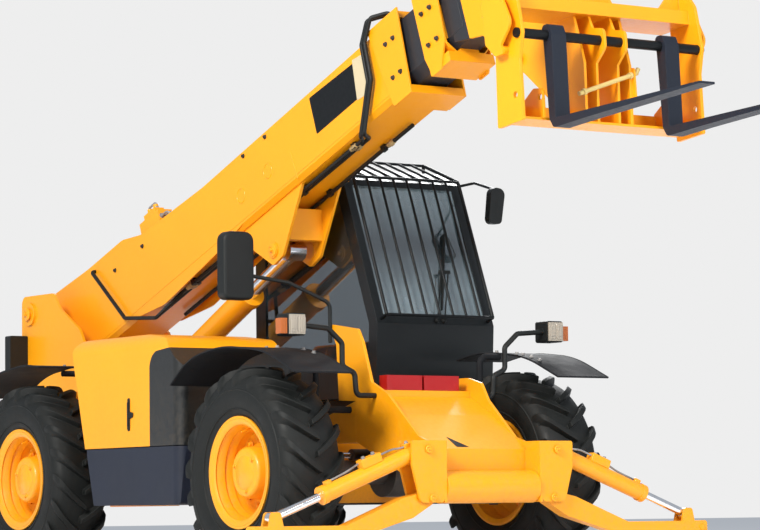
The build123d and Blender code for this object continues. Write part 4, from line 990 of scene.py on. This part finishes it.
cab_low, cab_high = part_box("cab_frame")
SEAT_Y = 0.735
seat_middle = Vector((cab_low[0] + 0.515, SEAT_Y, 1.178))
back_foot = Vector((seat_middle.x - 0.165, SEAT_Y, 1.235))
back_line = Vector((-0.159, 0.0, 0.987)).normalized()
back_out = Vector((back_line.z, 0.0, -back_line.x))


def on_seat(a, b, c):
    return seat_middle + Vector((a, b, c))


def on_back(a, b, c):
    return back_foot + back_line * (a + 0.325) + Vector((0, b, 0)) + back_out * c


cushion("seat_cushion", on_seat, (0.246, 0.250, 0.066))
cushion("seat_back", on_back, (0.330, 0.242, 0.084))
print("seat made at", tuple(round(value, 3) for value in seat_middle))

# %% [markdown]
# ## Levers
# The boom is worked from a small stick on a box beside the seat, and travel from a lever under
# the wheel. Each is a bent rod with a moulded knob turned to a hand's shape.

# %% Levers
KNOB = [
    (-0.030, 0.0), (-0.030, 0.011), (-0.012, 0.016), (0.012, 0.019),
    (0.030, 0.015), (0.038, 0.008), (0.040, 0.0),
]
SMALL_KNOB = [(along * 0.7, radius * 0.7) for along, radius in KNOB]
BOOT = [
    (0.0, 0.0), (0.0, 0.036), (0.012, 0.034), (0.020, 0.024),
    (0.032, 0.022), (0.040, 0.012), (0.052, 0.012), (0.056, 0.0),
]
mesh = bmesh.new()
stick_foot = Vector((seat_middle.x + 0.13, 0.435, 1.300))
box_low, box_high = (stick_foot.x - 0.20, 0.395, 1.060), (stick_foot.x + 0.09, 0.475, 1.295)
crate(mesh, lambda x, y, z: (x, y, z), box_low, box_high)
turned(mesh, stick_foot + Vector((0, 0, -0.006)), (0, 0, 1), BOOT, 32)
stick = [stick_foot + Vector(offset) for offset in ((0.0, 0.0, 0.0), (0.0, 0.0, 0.080), (0.020, 0.0, 0.130))]
swept(mesh, stick, 0.006, 10)
turned(mesh, stick_foot + Vector((0.026, 0.0, 0.150)), (0.24, 0, 0.97), KNOB, 32)
column = Vector((cab_high[0] - 0.348, SEAT_Y, 1.50))
for side, reach in ((1, 0.165), (-1, 0.150)):
    bend, tip = Vector((-0.01, side * 0.06, 0.01)), Vector((-0.03, side * reach, 0.035))
    swept(mesh, [column, column + bend, column + tip], 0.005, 10)
    turned(mesh, column + Vector((-0.033, side * (reach + 0.012), 0.038)), (0, side, 0.2), SMALL_KNOB, 24)
as_piece("levers", mesh, "chassis", black_plastic, bevel=0.003)
print("levers made")

# %% [markdown]
# ## Wiper
# The wiper has two parallel arms, so that its blade stays upright while it swings. It lies on
# the screen, under the bar guard, so its places are given along the screen's own slope.

# %% Wiper
SCREEN_FOOT, SCREEN_HEAD = Vector((-0.061, 0.0, 1.560)), Vector((-0.436, 0.0, 2.500))
screen_line = (SCREEN_HEAD - SCREEN_FOOT).normalized()
screen_out = Vector((screen_line.z, 0.0, -screen_line.x))


def on_screen(y, along, depth):
    return SCREEN_FOOT + screen_line * along + screen_out * depth + Vector((0, y, 0))


WIPER_BOSS = [(0.0, 0.0), (0.0, 0.016), (0.016, 0.014), (0.022, 0.008), (0.022, 0.0)]
BLADE_BACK = ((0.760, 0.110, 0.018), (0.838, 0.362, 0.026), (0.925, 0.640, 0.018))
mesh = bmesh.new()
for y in (0.700, 0.755):
    turned(mesh, on_screen(y, 0.022, 0.0), screen_out, WIPER_BOSS, 24)
    swept(mesh, [on_screen(y, 0.022, 0.018), on_screen(y + 0.115, 0.360, 0.026)], 0.0048, 8)
crate(mesh, on_screen, (0.800, 0.350, 0.018), (0.885, 0.372, 0.030))
swept(mesh, [on_screen(*point) for point in BLADE_BACK], 0.0052, 8, 0.15)
plate(mesh, [(0.757, 0.100), (0.763, 0.098), (0.930, 0.645), (0.924, 0.647)], on_screen, (-0.004, 0.016), 0.001)
as_piece("wiper", mesh, "chassis", black_plastic)
print("wiper made")


# %% [markdown]
# ## Mirror glass and lamps
# A mirror's glass is a thin plate let into its back, and a lamp's optics are raised squares with
# fluted faces. Behind, each side has three lenses in a stack: stop, turn and reversing.


# %% Mirror glass and lamps
def mirror_material():
    material, tree = new_material("mirror_glass")
    haze = speckle(tree, 9.0, 4.0)
    silver = blend_colours(tree, haze, colour(0.80, 0.83, 0.86), colour(0.68, 0.71, 0.74))
    smooth = between(tree, haze, 0.3, 0.8, 0.02, 0.07)
    surface(tree, silver, smooth, bumps(tree, haze, 0.0006, 0.08), Metallic=1.0)
    return material


mirror_glass = mirror_material()
red_lens = lens("red_lens", colour(0.42, 0.010, 0.008))


def backward_plate(name, corners, x, proud, material, radius):
    """A plate that faces backward from a plane square to the machine's length."""
    mesh = bmesh.new()
    plate(mesh, corners, lambda y, z, depth: Vector((x - depth, y, z)), (-0.001, proud), radius)
    as_piece(name, mesh, "chassis", material, bevel=0.0008)


MIRRORS = (
    # name, corners, behind the front axle, radius of the corners
    ("right", rectangle(-1.028, -0.842, 1.668, 2.046), 0.330, 0.045),
    ("left", [(1.104, 2.232), (1.180, 2.232), (1.208, 2.424), (1.126, 2.436)], 0.540, 0.030),
)
for side_name, corners, behind, radius in MIRRORS:
    face_x = FRONT_AXLE_X - behind
    backward_plate(f"mirror_glass_{side_name}", corners, face_x, 0.0025, mirror_glass, radius)

REAR_LENSES = (
    ("stop", 1.538, 1.636, "red", red_lens),
    ("turn", 1.470, 1.530, "amber", amber_lens),
    ("back", 1.404, 1.462, "lamp_glass", lamp_glass),
)
lens_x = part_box("lamp_lenses")[1][0]
rear_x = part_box("lamp_housings")[0][0]
for side, side_name in ((1, "left"), (-1, "right")):
    mesh = bmesh.new()
    for inner, outer, low, high in ((0.884, 0.936, 1.421, 1.519), (0.940, 0.990, 1.421, 1.519)):
        middle = Vector((lens_x, side * (inner + outer) / 2, (low + high) / 2))
        for shrink, proud in ((0.95, 0.0025), (0.62, 0.0045)):
            wide, tall = (outer - inner) / 2 * shrink, (high - low) / 2 * shrink
            corners = rectangle(-wide, wide, -tall, tall)
            plate(mesh, corners, lambda a, b, depth: middle + Vector((depth, a, b)), (-0.002, proud), 0.014)
    as_piece(f"lamp_optics_{side_name}", mesh, "chassis", lamp_glass, bevel=0.0015)
    for kind, low, high, slot_name, material in REAR_LENSES:
        corners = rectangle(side * 0.374, side * 0.486, low, high)
        backward_plate(f"lamp_{kind}_{side_name}", corners, rear_x, 0.006, material, 0.008)
print("lamps and mirrors made")

# %% [markdown]
# ## Screws of the cab
# Small heads in a row hold the panel across the cab's front, under the screen.

# %% Cab screws
CAB_SCREWS_Y = (0.285, 0.480, 0.695, 0.910, 1.105)
mesh = bmesh.new()
for y in CAB_SCREWS_Y:
    hex_bolt(mesh, Vector((cab_high[0] - 0.001, y, 1.180)), (1, 0, 0), 0.016)
as_piece("cab_screws", mesh, "chassis", black_paint)
print("cab screws", len(CAB_SCREWS_Y))

# %% [markdown]
# ## The locking rod and the drain opening
# A plated rod with a bent end slides across the carriage's middle and locks the forks' frame. In
# the trough's sloping floor a three-cornered opening lets water and mud out; it is drawn as a dark
# patch of painted shade let into the plate, standing in for the dark inside of the opening.


# %% Locking rod and drain
CARRIAGE_ANGLE = math.radians(5.0)
nose = Vector(joints["carriage_tilt"]["pos_m"])


def on_carriage(ahead, y, height):
    """A point ahead of the carriage's hinge and above it, in the carriage's own tilted frame."""
    return Vector((
        nose.x + ahead * math.cos(CARRIAGE_ANGLE) - height * math.sin(CARRIAGE_ANGLE), y,
        nose.z + ahead * math.sin(CARRIAGE_ANGLE) + height * math.cos(CARRIAGE_ANGLE),
    ))


zinc_paint = paint("zinc_paint", colour(0.62, 0.47, 0.17), 0.35, 0.05, 0.2)
ROD_AHEAD = 0.573
ROD_START, ROD_BEND, ROD_TIP = (
    on_carriage(ROD_AHEAD, y, height) for y, height in ((-0.217, -0.321), (0.199, -0.179), (0.214, -0.150))
)
mesh = bmesh.new()
swept(mesh, [ROD_START, ROD_BEND, ROD_TIP], 0.0128, 16, 0.02)
rod_line = (ROD_BEND - ROD_START).normalized()
for y, height in ((-0.180, -0.3084), (0.155, -0.194)):
    collar(mesh, on_carriage(ROD_AHEAD, y, height), rod_line, 0.009, 0.010, 0.019, 24)
as_piece("locking_rod", mesh, "carriage", zinc_paint)

FLOOR_TOP, FLOOR_FOOT = Vector((1.014, 0.0, 0.948)), Vector((1.339, 0.0, 0.740))
floor_line = (FLOOR_FOOT - FLOOR_TOP).normalized()
floor_out = Vector((-floor_line.z, 0.0, floor_line.x))


def on_floor(along, y, depth):
    return FLOOR_TOP + floor_line * along + floor_out * depth + Vector((0, y, 0))


# painted shade: a thin black patch on the sloping floor where the opening's dark inside would show
mesh = bmesh.new()
plate(mesh, [(0.250, -0.158), (0.366, -0.060), (0.366, -0.150)], on_floor, (-0.001, 0.0009), 0.010)
as_piece("drain", mesh, "chassis", black_paint)
print("rod and drain made")

# %% [markdown]
# ## Floor and light
# A pale studio floor and an even sky. Big soft lamps stand at the camera's left and overhead,
# as a photographer would put them, so that flat plates read as flat and round ones as round.

# %% Floor and light
BACKGROUND = colour(0.855, 0.855, 0.855)


def make_floor():
    bpy.ops.mesh.primitive_plane_add(size=160.0, location=(0, 0, 0))
    floor = bpy.context.object
    floor.name = "studio_floor"
    material, tree = new_material("studio_floor")
    diffuse = add_node(tree, "BsdfDiffuse", Color=colour(0.93, 0.93, 0.93))
    add_node(tree, "OutputMaterial", Surface=diffuse.outputs[0])
    floor.data.materials.append(material)


def make_sky():
    world = bpy.data.worlds.new("studio")
    world.use_nodes = True
    tree = world.node_tree
    tree.nodes.clear()
    seen = add_node(tree, "LightPath").outputs["Is Camera Ray"]
    lit = add_node(tree, "Background", Color=colour(0.80, 0.86, 0.95), Strength=0.55)
    shown = add_node(tree, "Background", Color=BACKGROUND)
    mix = add_node(tree, "MixShader", i0=seen, i1=lit.outputs[0], i2=shown.outputs[0])
    add_node(tree, "OutputWorld", Surface=mix.outputs[0])
    bpy.context.scene.world = world


def make_lamp(name, place, target, size, power, tint=(1.0, 1.0, 1.0)):
    data = bpy.data.lights.new(name, "AREA")
    data.shape, data.size, data.energy, data.color = "DISK", size, power, tint
    lamp = bpy.data.objects.new(name, data)
    lamp.location = place
    lamp.rotation_euler = (Vector(target) - Vector(place)).to_track_quat("-Z", "Y").to_euler()
    bpy.context.scene.collection.objects.link(lamp)


make_floor()
make_sky()
make_lamp("key", (6.0, -13.0, 10.0), (0.0, 0.0, 1.2), 5.0, 3100.0, (1.0, 0.97, 0.92))
make_lamp("front_fill", (15.0, 1.0, 7.0), (0.5, 0.0, 1.5), 6.0, 1150.0)
make_lamp("back_rim", (-10.0, 9.0, 9.0), (0.0, 0.0, 1.5), 5.0, 1400.0)
bpy.context.scene.view_settings.view_transform = "Standard"
